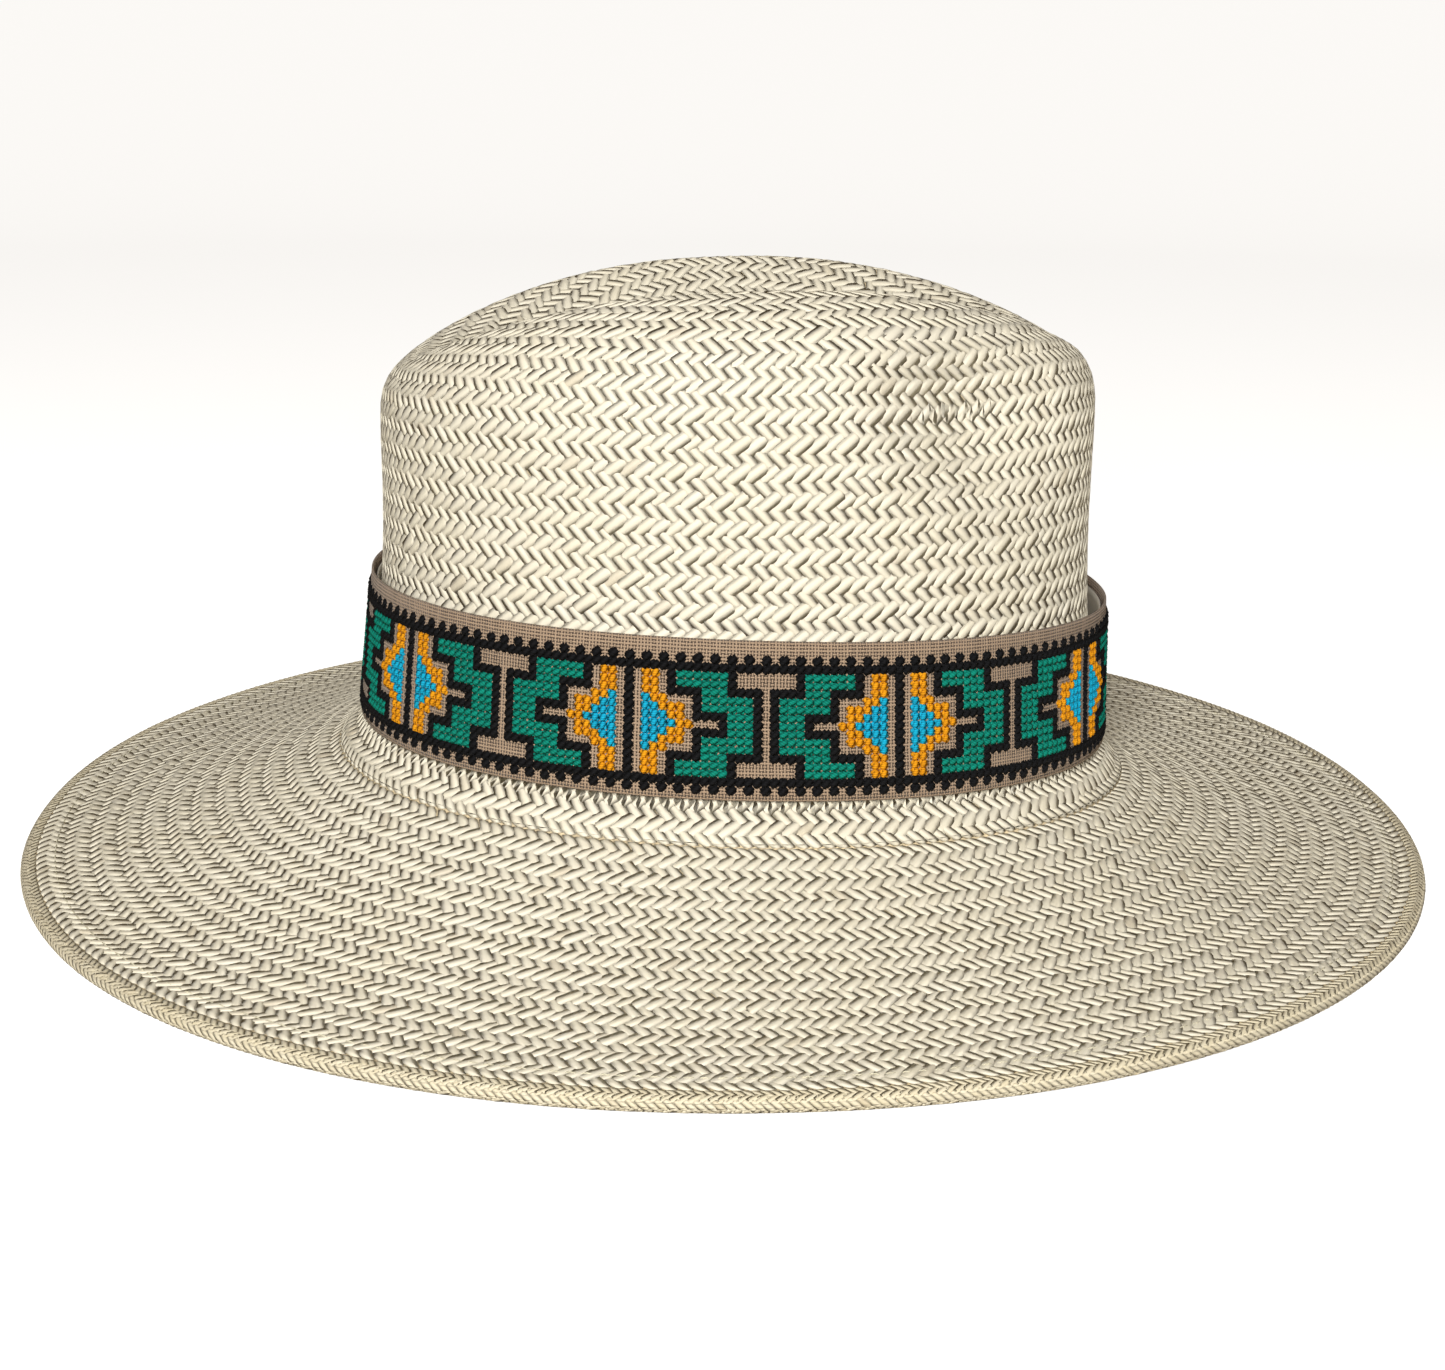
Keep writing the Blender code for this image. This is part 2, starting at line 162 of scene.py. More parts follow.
class BandSizes(bpy.types.PropertyGroup):
    """Sizes of the slip-on band."""

    foot: length("Foot", "Band's lower edge over the break", 0.0050)
    height: length("Height", "Width of the band's cloth", 0.0402)
    closing_front: length("Closing in, front", "Top edge's lean to the crown", 0.0022)
    closing_rear: length("Closing in, rear", "Top edge's lean to the crown", 0.0045)
    ease: length("Ease", "Looseness round the straw's foot", 0.0006)
    lining: length("Stiffener", "Thickness", 0.0004)
    lining_short: length("Stiffener short", "How far it ends below the linen", 0.0020)
    yarn: length("Carried yarn", "Room for yarn behind the linen", 0.0004)
    linen: length("Linen", "Thickness", 0.0006)
    wave: length("Waviness", "Out and in along the band", 0.00035)
    stitch_foot: length("Stitch foot", "Embroidery above the lower edge", 0.0017)
    stitch_height: length("Stitch height", "Height of the embroidery", 0.0347)
    cell: length("Cell width", "One cross-stitch along the band", 0.00214)
    phase: length("Phase", "First motif ahead of the side's middle", 0.00144)
    seam: number("Seam", "Share of the way round where the ends are joined", 0.385)
    yarn_half_width: length("Yarn half width", "Half the width of one leg", 0.00082)
    thread_pitch: length("Thread pitch", "Linen threads' distance", 0.00082)


class SweatbandSizes(bpy.types.PropertyGroup):
    """Sizes of the tape inside the crown."""

    height: length("Height", "From the break up", 0.038)
    thick: length("Thickness", "Of the tape", 0.0007)
    turn: length("Turn", "Height of the turned edge", 0.005)
    reed_radius: length("Reed radius", "Plastic reed in the turned edge", 0.0005)
    rib_pitch: length("Rib pitch", "Distance between the tape's ribs", 0.0011)
    rib_depth: length("Rib depth", "Relief of the ribs", 0.00010)
    seam_height: length("Seam height", "Sewn line above the turned edge", 0.011)
    thread: length("Thread", "Thickness of the sewing thread", 0.0004)
    stitch_pitch: length("Stitch pitch", "Distance between stitches", 0.0038)
    tape_half_width: length("Tape half width", "Strip over the tape's join", 0.006)
    tape_below_top: length("Tape below top", "Strip's end under the tape's top", 0.002)


class HatColours(bpy.types.PropertyGroup):
    """Colours of the finishes."""

    straw_light: colour("Straw, light", "Palest leaves", (0.90, 0.845, 0.70))
    straw_warm: colour("Straw, warm", "Yellower leaves", (0.85, 0.775, 0.59))
    straw_edge: colour("Straw, edge", "Leaves of the rolled edge", (0.76, 0.66, 0.44))
    # Painted shade: the straw between the leaves, darkened.
    straw_bed: colour("Straw, bed", "Shaded straw between leaves", (0.50, 0.41, 0.26))
    linen_light: colour("Linen, light", "Thread crowns", (0.44, 0.31, 0.205))
    # Painted shade: the holes between the linen's threads.
    linen_hole_shade: colour("Linen, dark", "Holes between threads", (0.065, 0.042, 0.026))
    yarn_black: colour("Yarn, black", "Cotton", (0.004, 0.004, 0.005))
    yarn_teal: colour("Yarn, teal", "Cotton", (0.0, 0.235, 0.165))
    yarn_orange: colour("Yarn, orange", "Cotton", (0.93, 0.32, 0.005))
    yarn_blue: colour("Yarn, blue", "Cotton", (0.005, 0.39, 0.60))
    stiffener: colour("Stiffener", "Non-woven lining", (0.66, 0.62, 0.54))
    tape: colour("Sweatband", "Grosgrain tape", (0.50, 0.38, 0.25))
    thread: colour("Thread", "Sewing thread", (0.78, 0.70, 0.52))
    reed: colour("Reed", "Plastic", (0.80, 0.80, 0.76))
    wire: colour("Wire", "Spring steel", (0.45, 0.45, 0.46))


class StageSettings(bpy.types.PropertyGroup):
    """Camera, floor and lights."""

    azimuth: angle("Azimuth", "Camera's turn round the hat", -4.03)
    elevation: angle("Elevation", "Camera's height angle", 16.67)
    roll: angle("Roll", "Camera's tilt", 0.72)
    distance: length("Distance", "Camera to the hat", 0.5813)
    target_height: length("Target height", "What the camera aims at", 0.0383)
    target_forward: length("Target forward", "What the camera aims at", -0.0009)
    lens: number("Lens", "Focal length in millimetres", 50.0)
    key_power: power("Key power", "Large soft light", 15.0)
    fill_power: power("Fill power", "Soft light from the right", 1.2)
    world_strength: number("World strength", "Soft light from all round", 0.12)
    world_tint: colour("World tint", "Colour of the room's light", (1.0, 0.80, 0.54))
    floor_glow: number("Floor glow", "Light of the floor's own", 0.80)
    floor_tint: colour("Floor tint", "Colour of the floor", (0.93, 0.93, 0.93))


# ---------------------------------------------------------------- the hat's shape


# How softly a pinch's ridge turns forward on its way down the wall
PINCH_TURN = 0.006
# Waves round the band: how many, their start and their twist up the band, and their share
BAND_WAVES = ((3, 1.1, 1.5, 1.0), (7, 0.0, 4.0, 0.6))


class Rings:
    """Rings of the hat at the given turns, which are angles round the head from the front."""

    def __init__(self, turns):
        self.shape = bpy.context.scene.hat_shape
        self.front = np.cos(turns)
        self.side = np.sin(turns)
        self.saddle = np.cos(2 * turns)

    def oval(self, half_length, half_width, shift=None):
        """A super-ellipse: each axis is the cosine or sine to the power 2/n, signs kept."""
        power = 2 / self.shape.oval_power
        if shift is None:
            shift = self.shape.crown_shift
        x = shift + half_length * np.sign(self.front) * np.abs(self.front) ** power
        y = half_width * np.sign(self.side) * np.abs(self.side) ** power
        return x, y

    def ring(self, x, y, z):
        return np.stack(np.broadcast_arrays(x, y, z, self.front)[:3], axis=-1).astype(float)

    def break_line(self):
        """Height of the line where crown and brim meet: cosines of the turn and twice it."""
        s = self.shape
        return s.break_height - s.break_lean * self.front - s.break_saddle * self.saddle

    def edge_line(self):
        """Underside of the brim's edge: level, then rising with the sine squared."""
        s = self.shape
        side = (self.side**2 - s.edge_level) / (1 - s.edge_level)
        return s.edge_rise * np.clip(side, 0.0, None)

    def crown(self, lean):
        """Crown's top: a super-ellipse in height too, read at an angle from its middle."""
        s = self.shape
        power = s.shoulder_side + (s.shoulder_end - s.shoulder_side) * self.front**2
        whole_way = (math.sin(lean) ** power + math.cos(lean) ** power) ** (1 / power)
        out = math.sin(lean) / whole_way
        x, y = self.oval(
            (s.foot_half_length - s.taper_length) * out, (s.foot_half_width - s.taper_width) * out
        )
        crest = s.crown_height - s.crest_fall * (x - s.crest_forward) ** 2
        rise = math.cos(lean) / whole_way
        return self.dented(x, y, s.shoulder_height + (crest - s.shoulder_height) * rise)

    def dented(self, x, y, z):
        """The long dent drops z inside an ellipse; the pinches push y in past a ridge."""
        s = self.shape
        ahead = x - s.crown_shift
        inside = 1 - (ahead / s.crease_half_length) ** 2 - (y / s.crease_half_width) ** 2
        drop = s.crease_depth * np.clip(inside, 0.0, None) ** s.crease_power
        below = s.pinch_height - z
        ridge = s.pinch_edge + 0.5 * s.pinch_slope * (below + np.hypot(below, PINCH_TURN))
        step = np.clip((ahead - ridge) / s.pinch_softness, 0.0, 1.0)
        past = np.clip(ahead - s.pinch_forward, 0.0, None) / s.pinch_half_length
        out = np.clip(np.abs(y) / s.crease_half_width, 0.0, 1.0) ** 2
        push = s.pinch_depth * step**2 * (3 - 2 * step) * out
        push = push * np.exp(-(past**2) - (below / s.pinch_half_height) ** 2)
        return self.ring(x, y - np.sign(y) * push, z - drop)

    def wall_oval(self, height):
        """Half length and half width of the wall: top size plus a parabola going down."""
        s = self.shape
        foot = self.break_line() + s.break_up
        down = np.clip((s.shoulder_height - height) / (s.shoulder_height - foot), 0.0, 1.0)
        half_length = s.foot_half_length - s.taper_length * (1 - down**2)
        half_width = s.foot_half_width - s.taper_width * (1 - down**2)
        return half_length, half_width

    def wall(self, share):
        """The wall, from the shoulder at 0 to the top of the round corner at 1."""
        s = self.shape
        z = s.shoulder_height + (self.break_line() + s.break_up - s.shoulder_height) * share
        x, y = self.oval(*self.wall_oval(z))
        return self.dented(x, y, z)

    def brim_height(self, inward):
        """Top of the brim: a power curve from the edge up to the break line."""
        s = self.shape
        power = s.brim_curve_rear + (s.brim_curve_front - s.brim_curve_rear) * (
            (1 + self.front) / 2
        )
        reach = s.brim_half_length - s.foot_half_length
        rim = self.edge_line() + 2 * s.fold_radius
        share = np.clip((inward - s.fold_radius) / (reach - s.fold_radius), 0.0, 1.0)
        return rim + (self.break_line() - rim) * share**power

    def brim(self, inward, below=0.0):
        """The brim, this far in from its edge: the oval shrinks evenly to the crown's foot."""
        s = self.shape
        share = inward / (s.brim_half_length - s.foot_half_length)
        half_length = s.brim_half_length + (s.foot_half_length - s.brim_half_length) * share
        half_width = s.brim_half_width + (s.foot_half_width - s.brim_half_width) * share
        x, y = self.oval(half_length, half_width, s.crown_shift * share)
        groove = s.hem_groove * math.exp(
            -(((inward - s.hem_thread_in) / s.hem_groove_width) ** 2)
        )
        return self.ring(x, y, self.brim_height(inward) - below - groove)

    def corner(self, share):
        """Round corner between wall and brim: a parabola in height and in distance out."""
        s = self.shape
        inward = s.brim_half_length - s.foot_half_length - s.break_out
        out = s.break_out * share**2
        low = self.brim_height(inward)
        x, y = self.oval(s.foot_half_length + out, s.foot_half_width + out)
        brim = self.brim(inward)
        line = self.break_line()
        z = line + s.break_up * (1 - share) ** 2 + (low - line) * share**2
        blend = share**2
        return self.ring(x + (brim[:, 0] - x) * blend, y + (brim[:, 1] - y) * blend, z)

    def fold(self, degrees):
        """Round edge of the brim: a half circle from 90 on top to -90 underneath."""
        s = self.shape
        bend = math.radians(degrees)
        x, y, _ = self.brim(s.fold_radius * (1 - math.cos(bend))).T
        return self.ring(x, y, self.edge_line() + s.fold_radius * (1 + math.sin(bend)))

    def hem(self, share):
        """Turned-under straw, from the level strip at 0 to its sewn inner end at 1."""
        s = self.shape
        start = s.fold_radius + s.rest_width
        x, y, z = self.brim(start + (s.hem_width - start) * share, 2 * s.straw + s.gap).T
        return self.ring(x, y, self.edge_line() * (1 - share) + z * share)

    def inside(self, inset, up):
        """A ring inside the crown's wall, this far in from the straw."""
        s = self.shape
        z = self.break_line() + up
        half_length, half_width = self.wall_oval(z)
        x, y = self.oval(half_length - s.straw - inset, half_width - s.straw - inset)
        return self.ring(x, y, z)

    def band(self, out, up):
        """A ring of the band: it leans in going up, and waves a little out and in."""
        s = self.shape
        b = bpy.context.scene.hat_band
        share = up / b.height
        turns = np.arctan2(self.side, self.front)
        wave = sum(
            part * np.sin(count * turns + start + twist * share)
            for count, start, twist, part in BAND_WAVES
        )
        closing_in = b.closing_front + (b.closing_rear - b.closing_front) * (1 - self.front) / 2
        away = out - closing_in * share + b.wave * wave * share**2
        x, y = self.oval(s.foot_half_length + away, s.foot_half_width + away)
        return self.ring(x, y, self.break_line() + b.foot + up)


def even_turns(count):
    """Turns whose points lie at even distances along the oval of the crown's foot."""
    dense = np.linspace(0.0, 2 * math.pi, 8193)
    shape = bpy.context.scene.hat_shape
    x, y = Rings(dense).oval(shape.foot_half_length, shape.foot_half_width)
    travelled = np.append(0.0, np.cumsum(np.hypot(np.diff(x), np.diff(y))))
    return np.interp(np.arange(count) / count, travelled / travelled[-1], dense)


def evened(rings, rows):
    """The same surface with its rings at even distances along each meridian."""
    steps = np.linalg.norm(np.diff(rings, axis=0), axis=-1)
    travelled = np.vstack([np.zeros(rings.shape[1]), np.cumsum(steps, axis=0)])
    travelled /= travelled[-1]
    columns = np.arange(rings.shape[1])
    sought = np.linspace(0.0, 1.0, rows)[:, None]
    flat = (travelled + 2 * columns).T.ravel()
    after = np.searchsorted(flat, sought + 2 * columns) - len(rings) * columns
    after = np.clip(after, 1, len(rings) - 1)
    start = travelled[after - 1, columns]
    share = (sought - start) / np.maximum(travelled[after, columns] - start, 1e-12)
    share = np.clip(share, 0.0, 1.0)[..., None]
    return rings[after - 1, columns] * (1 - share) + rings[after, columns] * share


class Skin:
    """A surface of rings. around runs 0 to 1 from the front, and along 0 to 1 over the rings.

    A point is the mean of the four stored points about it, weighted by nearness, moved by
    lift along the normal, which is the cross product of the steps around and along.
    """

    def __init__(self, rings, rows):
        self.rings = evened(np.array(rings), rows)
        around = np.roll(self.rings, -1, axis=1) - np.roll(self.rings, 1, axis=1)
        normals = np.cross(np.gradient(self.rings, axis=0), around)
        size = np.linalg.norm(normals, axis=-1, keepdims=True)
        normals = normals / np.maximum(size, 1e-15)
        if size[0].max() < 1e-9:
            normals[0] = normals[1].mean(axis=0)
        self.normals = normals

    def inner(self, depth):
        """The surface this far under this one, looking the other way."""
        other = object.__new__(Skin)
        other.rings = self.rings - self.normals * depth
        other.normals = -self.normals
        return other

    def read(self, table, around, along):
        rows, columns = self.rings.shape[:2]
        across = np.mod(around, 1.0) * columns
        down = np.clip(along, 0.0, 1.0) * (rows - 1)
        left = np.floor(across).astype(int)
        upper = np.minimum(np.floor(down).astype(int), rows - 2)
        fx = (across - left)[..., None]
        fy = (down - upper)[..., None]
        left = left % columns
        right = (left + 1) % columns
        over = table[upper, left] * (1 - fx) + table[upper, right] * fx
        under = table[upper + 1, left] * (1 - fx) + table[upper + 1, right] * fx
        return over * (1 - fy) + under * fy

    def at(self, around, along, lift):
        around, along, lift = np.broadcast_arrays(around, along, lift)
        place = self.read(self.rings, around, along)
        return place + self.read(self.normals, around, along) * lift[..., None]

    def girth(self, along):
        """Length once round, at each of these places along."""
        sides = np.linalg.norm(np.roll(self.rings, -1, axis=1) - self.rings, axis=-1)
        return np.interp(along, np.linspace(0.0, 1.0, len(sides)), sides.sum(axis=1))

    def reach(self):
        """Mean length along."""
        return np.linalg.norm(np.diff(self.rings, axis=0), axis=-1).sum(axis=0).mean()


# How finely the surfaces are stored: points a ring, and rings of each surface
COLUMNS = 960
CROWN_ROWS = 420
BRIM_ROWS = 240
STRIP_ROWS = 60
HEM_ROWS = 30


def crown_skin():
    """The crown's top, from its middle, then its wall and the round corner at its foot."""
    rings = Rings(even_turns(COLUMNS))
    top = [rings.crown(lean) for lean in np.linspace(0.0, math.pi / 2, 110)]
    wall = [rings.wall(share) for share in np.linspace(0.0, 1.0, 60)[1:]]
    corner = [rings.corner(share) for share in np.linspace(0.0, 1.0, 30)[1:]]
    return Skin([*top, *wall, *corner], CROWN_ROWS)


def brim_skin(last):
    """The brim's top, from the crown's round corner to this far from the edge."""
    shape = bpy.context.scene.hat_shape
    rings = Rings(even_turns(COLUMNS))
    first = shape.brim_half_length - shape.foot_half_length - shape.break_out
    return Skin([rings.brim(inward) for inward in np.linspace(first, last, 150)], BRIM_ROWS)


def edge_skin(first):
    """The rolled edge: a strip of the brim's top, the round fold, and the level strip."""
    shape = bpy.context.scene.hat_shape
    rings = Rings(even_turns(COLUMNS))
    strip = [rings.brim(inward) for inward in np.linspace(first, shape.fold_radius, 8)]
    fold = [rings.fold(degrees) for degrees in np.linspace(90, -90, 25)[1:]]
    return Skin([*strip, *fold, rings.hem(0.0)], STRIP_ROWS)


def hem_skin():
    """The turned-under straw, from the level strip inwards."""
    rings = Rings(even_turns(COLUMNS))
    return Skin([rings.hem(share) for share in np.linspace(0.0, 1.0, 12)], HEM_ROWS)


def band_skin(out):
    """The band, this far out from the straw's foot, from its top edge down."""
    band = bpy.context.scene.hat_band
    rings = Rings(even_turns(COLUMNS))
    ups = np.linspace(band.height, 0.0, 40)
    return Skin([rings.band(out, up) for up in ups], STRIP_ROWS)


def inside_skin(inset):
    """The wall that the sweatband lies on, from its top down to the break, looking inwards."""
    size = bpy.context.scene.hat_sweatband
    rings = Rings(even_turns(COLUMNS))
    ups = np.linspace(size.height, 0.0, 40)
    skin = Skin([rings.inside(inset, up) for up in ups], STRIP_ROWS)
    return skin.inner(0.0)


def band_layers():
    """How far out from the straw's foot the stiffener, the linen and its face lie."""
    shape = bpy.context.scene.hat_shape
    band = bpy.context.scene.hat_band
    lining = shape.break_out * (1 - math.sqrt(band.foot / shape.break_up)) ** 2 + band.ease
    linen = lining + band.lining + shape.gap + band.yarn + shape.gap
    return lining, linen, linen + band.linen


# ---------------------------------------------------------------- building meshes


def add_mesh(name, points, faces, finish, maps=None, values=None):
    """A smooth mesh. faces holds arrays of corners, and maps UV arrays of the same shapes."""
    points = np.asarray(points, np.float32).reshape(-1, 3)
    sizes = np.concatenate([np.full(len(part), part.shape[1]) for part in faces])
    corners = np.concatenate([part.ravel() for part in faces])
    mesh = bpy.data.meshes.new(name)
    mesh.vertices.add(len(points))
    mesh.vertices.foreach_set("co", points.ravel())
    mesh.loops.add(len(corners))
    mesh.loops.foreach_set("vertex_index", corners.astype(np.int32))
    mesh.polygons.add(len(sizes))
    mesh.polygons.foreach_set("loop_start", (np.cumsum(sizes) - sizes).astype(np.int32))
    mesh.update(calc_edges=True)
    for title, parts in (maps or {}).items():
        layer = mesh.uv_layers.new(name=title)
        joined = np.concatenate([part.reshape(-1, 2) for part in parts])
        layer.uv.foreach_set("vector", joined.astype(np.float32).ravel())
    for title, amounts in (values or {}).items():
        layer = mesh.attributes.new(title, "FLOAT", "POINT")
        layer.data.foreach_set("value", amounts.astype(np.float32))
    mesh.shade_smooth()
    mesh.materials.append(finish)
    item = bpy.data.objects.new(name, mesh)
    bpy.context.scene.collection.objects.link(item)
    return item


def finished(item, body, slot, *nodes):
    """Rides on a body, and stands for CAD nodes, which it hides. Its slot is not used."""
    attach(item, body)
    if nodes:
        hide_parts(*nodes)
    return item


def grid_faces(rows, columns, closed_rows=False):
    """Quads of a grid that closes round its columns, and each corner's (column, row)."""
    last = rows if closed_rows else rows - 1
    row, column = np.meshgrid(np.arange(last), np.arange(columns), indexing="ij")
    row = row.ravel()[:, None] + np.array([0, 1, 1, 0])
    column = column.ravel()[:, None] + np.array([0, 0, 1, 1])
    faces = (row % rows) * columns + column % columns
    return faces, np.stack([column, row], axis=-1).astype(float)


def outwards(points, faces, places):
    """Faces and their corners' places, turned round where they would enclose a negative volume."""
    flat = points.reshape(-1, 3)
    volume = 0.0
    for part in faces:
        first = flat[part[:, 0]]
        for k in range(1, part.shape[1] - 1):
            volume += np.sum(first * np.cross(flat[part[:, k]], flat[part[:, k + 1]]))
    if volume > 0:
        return faces, places
    return [part[:, ::-1] for part in faces], [part[:, ::-1] for part in places]


def add_loop(name, rows, finish, scale=(1.0, 1.0)):
    """A closed section carried round the hat: rows are its corners' rings."""
    rows = np.array(rows)
    faces, places = grid_faces(*rows.shape[:2], closed_rows=True)
    faces, places = outwards(rows, [faces], [places])
    unit = np.array([1.0 / rows.shape[1], 1.0 / rows.shape[0]])
    maps = {
        "cloth": [part * unit * np.array(scale) for part in places],
        "OFBake": [0.002 + 0.996 * part * unit for part in places],
    }
    return add_mesh(name, rows, faces, finish, maps)


# Where a strip's points lie, as shares of its half length and half width
STATIONS = np.array([-1.0, -0.74, 0.0, 0.74, 1.0])
ACROSS = np.array([-1.0, 0.0, 1.0])
# Clear border round each strip's cell on the OFBake map, as a share of the cell
CELL_BORDER = 0.08


def strip_faces(count):
    """Faces of closed strips: two ends of three corners, four quads below, eight on top."""
    width = len(ACROSS)
    base = (np.arange(count) * len(STATIONS) * width)[:, None]
    last = (len(STATIONS) - 1) * width
    ends = np.array([[0, 1, 2], [last + 2, last + 1, last]])
    starts = width * np.arange(4)[:, None]
    below = starts + np.array([0, 2, 5, 3])
    halves = (starts + np.arange(2)).reshape(-1, 1)
    above = halves + np.array([0, width, width + 1, 1])
    parts = (ends, below, above)
    return [(base[:, None] + part[None]).reshape(-1, part.shape[1]) for part in parts]


def strip_maps(count, faces):
    """UVs: "strand" runs 0 to 1 along and across each strip, and OFBake gives each a cell."""
    along, across = np.meshgrid((STATIONS + 1) / 2, (ACROSS + 1) / 2, indexing="ij")
    local = np.stack([along.ravel(), across.ravel()], axis=-1)
    side = math.ceil(math.sqrt(count))
    cell = np.stack([np.arange(count) % side, np.arange(count) // side], axis=-1)
    spread = (cell[:, None] + CELL_BORDER + (1 - 2 * CELL_BORDER) * local[None]) / side
    strand = np.broadcast_to(local, (count, *local.shape)).reshape(-1, 2)
    spread = spread.reshape(-1, 2)
    return {
        "strand": [strand[part] for part in faces],
        "OFBake": [spread[part] for part in faces],
    }


def add_strips(name, skin, centre, axis, cross, heights, tone, finish):
    """Closed strips laid on a skin, each from centre - axis to centre + axis.

    Lift is the end height plus a rise to the crest that falls with the fourth power of the
    way to an end, and with the square of the way to a long edge.
    """
    top, edge, end = (np.broadcast_to(part, len(centre))[:, None, None] for part in heights)
    along = STATIONS[None, :, None]
    across = ACROSS[None, None, :]
    place = centre[:, None, None] + along[..., None] * axis[:, None, None]
    place = place + across[..., None] * cross[:, None, None]
    hold = 1 - along**4
    lift = end + ((top - end) * (1 - across**2) + (edge - end) * across**2) * hold
    points = skin.at(place[..., 0], place[..., 1], lift).reshape(-1, 3)
    faces = strip_faces(len(centre))
    maps = strip_maps(len(centre), faces)
    one = points[faces[2][:8]]
    normal = np.cross(one[:, 1] - one[:, 0], one[:, 2] - one[:, 0]).sum(axis=0)
    away = skin.read(skin.normals, centre[0, 0], centre[0, 1])
    if normal @ away < 0:
        faces = [part[:, ::-1] for part in faces]
        maps = {title: [part[:, ::-1] for part in parts] for title, parts in maps.items()}
    corners = len(STATIONS) * len(ACROSS)
    return add_mesh(name, points, faces, finish, maps, {"tone": np.repeat(tone, corners)})


def stepped(wanted, slack):
    """Whole counts that follow wanted, each held until it is off by more than slack."""
    counts = []
    held = 1
    for amount in wanted:
        if abs(amount / held - 1) > slack:
            held = max(round(amount), 5)
        counts.append(held)
    return np.array(counts)


# Spread of each leaf's place along and across its ring, length, width, lean and height
LEAF_SPREAD = (0.025, 0.02, 0.03, 0.04, 0.03, 0.00003)
# Strands that a leaf's tone is shared along
STRANDS = 1009


def add_plait(name, skin, pitch, finish, seed, raised=0.0):
    """Herringbone plait: rings of leaves near 45 degrees, which lean the other way in turn.

    Leaf j of ring i has its centre at (j + 1/2, i + 1/2) pitches, odd rings half a pitch
    further. Its half length is half a pitch each way times its reach, and its half width a
    quarter times its width. The seventh row of normal draws is spare.
    """
    size = bpy.context.scene.hat_plait
    rng = np.random.default_rng(seed)
    rows = round(skin.reach() / pitch)
    centres = (np.arange(rows) + 0.5) / rows
    counts = stepped(skin.girth(centres) / pitch, size.slack)
    ring = np.repeat(np.arange(rows), counts)
    place = np.concatenate([np.arange(count) for count in counts])
    here = counts[ring]
    odd = ring % 2
    lean = 1 - 2 * odd
    draws = rng.normal(0.0, 1.0, (7, len(ring)))
    wander = [spread * draw for spread, draw in zip(LEAF_SPREAD, draws)]
    around = (place + 0.5 + 0.5 * odd + wander[0]) / here
    along = (ring + 0.5 - size.pairing * lean + wander[1]) / rows
    long = 0.5 * size.reach * (1 + wander[2])
    wide = 0.25 * size.wide * (1 + wander[3])
    tilt = size.skew + wander[4]
    axis = np.stack([(lean + tilt) * long / here, long / rows], axis=-1)
    cross = np.stack([-wide / here, (lean + tilt) * wide / rows], axis=-1)
    scale = pitch / size.pitch
    uneven = wander[5] * scale
    heights = [raised + scale * part + uneven for part in (size.top, size.side, size.end)]
    strands = rng.random(STRANDS)
    tone = 0.55 * strands[(place - lean * ring) % STRANDS] + 0.45 * rng.random(len(ring))
    centre = np.stack([around, along], axis=-1)
    return add_strips(name, skin, centre, axis, cross, heights, tone, finish)


def add_stitch_line(name, skin, along, pitch, half_width, finish, seed):
    """Running stitches in a line round the hat, each four fifths of the pitch long."""
    rng = np.random.default_rng(seed)
    girth = float(skin.girth(along))
    count = round(girth / pitch)
    around = (np.arange(count) + 0.5) / count
    centre = np.stack([around, np.full(count, along)], axis=-1)
    axis = np.stack([np.full(count, 0.4 / count), rng.normal(0.0, 0.1, count) / 500], axis=-1)
    cross = np.stack([np.zeros(count), np.full(count, half_width / skin.reach())], axis=-1)
    heights = (2.0 * half_width, 0.8 * half_width, -half_width)
    return add_strips(name, skin, centre, axis, cross, heights, rng.random(count), finish)


# ---------------------------------------------------------------- shader maths


class Value:
    """A shader socket that takes part in Python arithmetic, one Math node an operator."""

    def __init__(self, nodes, socket):
        self.nodes = nodes
        self.socket = socket

    def maths(self, operation, *others):
        sockets = dict(enumerate((self, *others)))
        return self.nodes.add("ShaderNodeMath", {"operation": operation}, sockets)

    def __add__(self, other):
        return self.maths("ADD", other)

    def __mul__(self, other):
        return self.maths("MULTIPLY", other)

    def __sub__(self, other):
        return self.maths("SUBTRACT", other)

    def __rsub__(self, other):
        return (self * -1.0) + other

    def __truediv__(self, other):
        return self.maths("DIVIDE", other)

    def __pow__(self, other):
        return self.maths("POWER", other)

    __radd__ = __add__
    __rmul__ = __mul__

    def fraction(self):
        return self.maths("FRACT")

    def floor(self):
        return self.maths("FLOOR")

    def away(self):
        return self.maths("ABSOLUTE")

    def wave(self):
        return self.maths("SINE")

    def larger(self, other):
        return self.maths("MAXIMUM", other)

    def between(self, low, high):
        """0 below low, 1 above high, smooth between."""
        settings = {"interpolation_type": "SMOOTHSTEP"}
        return self.nodes.add("ShaderNodeMapRange", settings, {0: self, 1: low, 2: high})


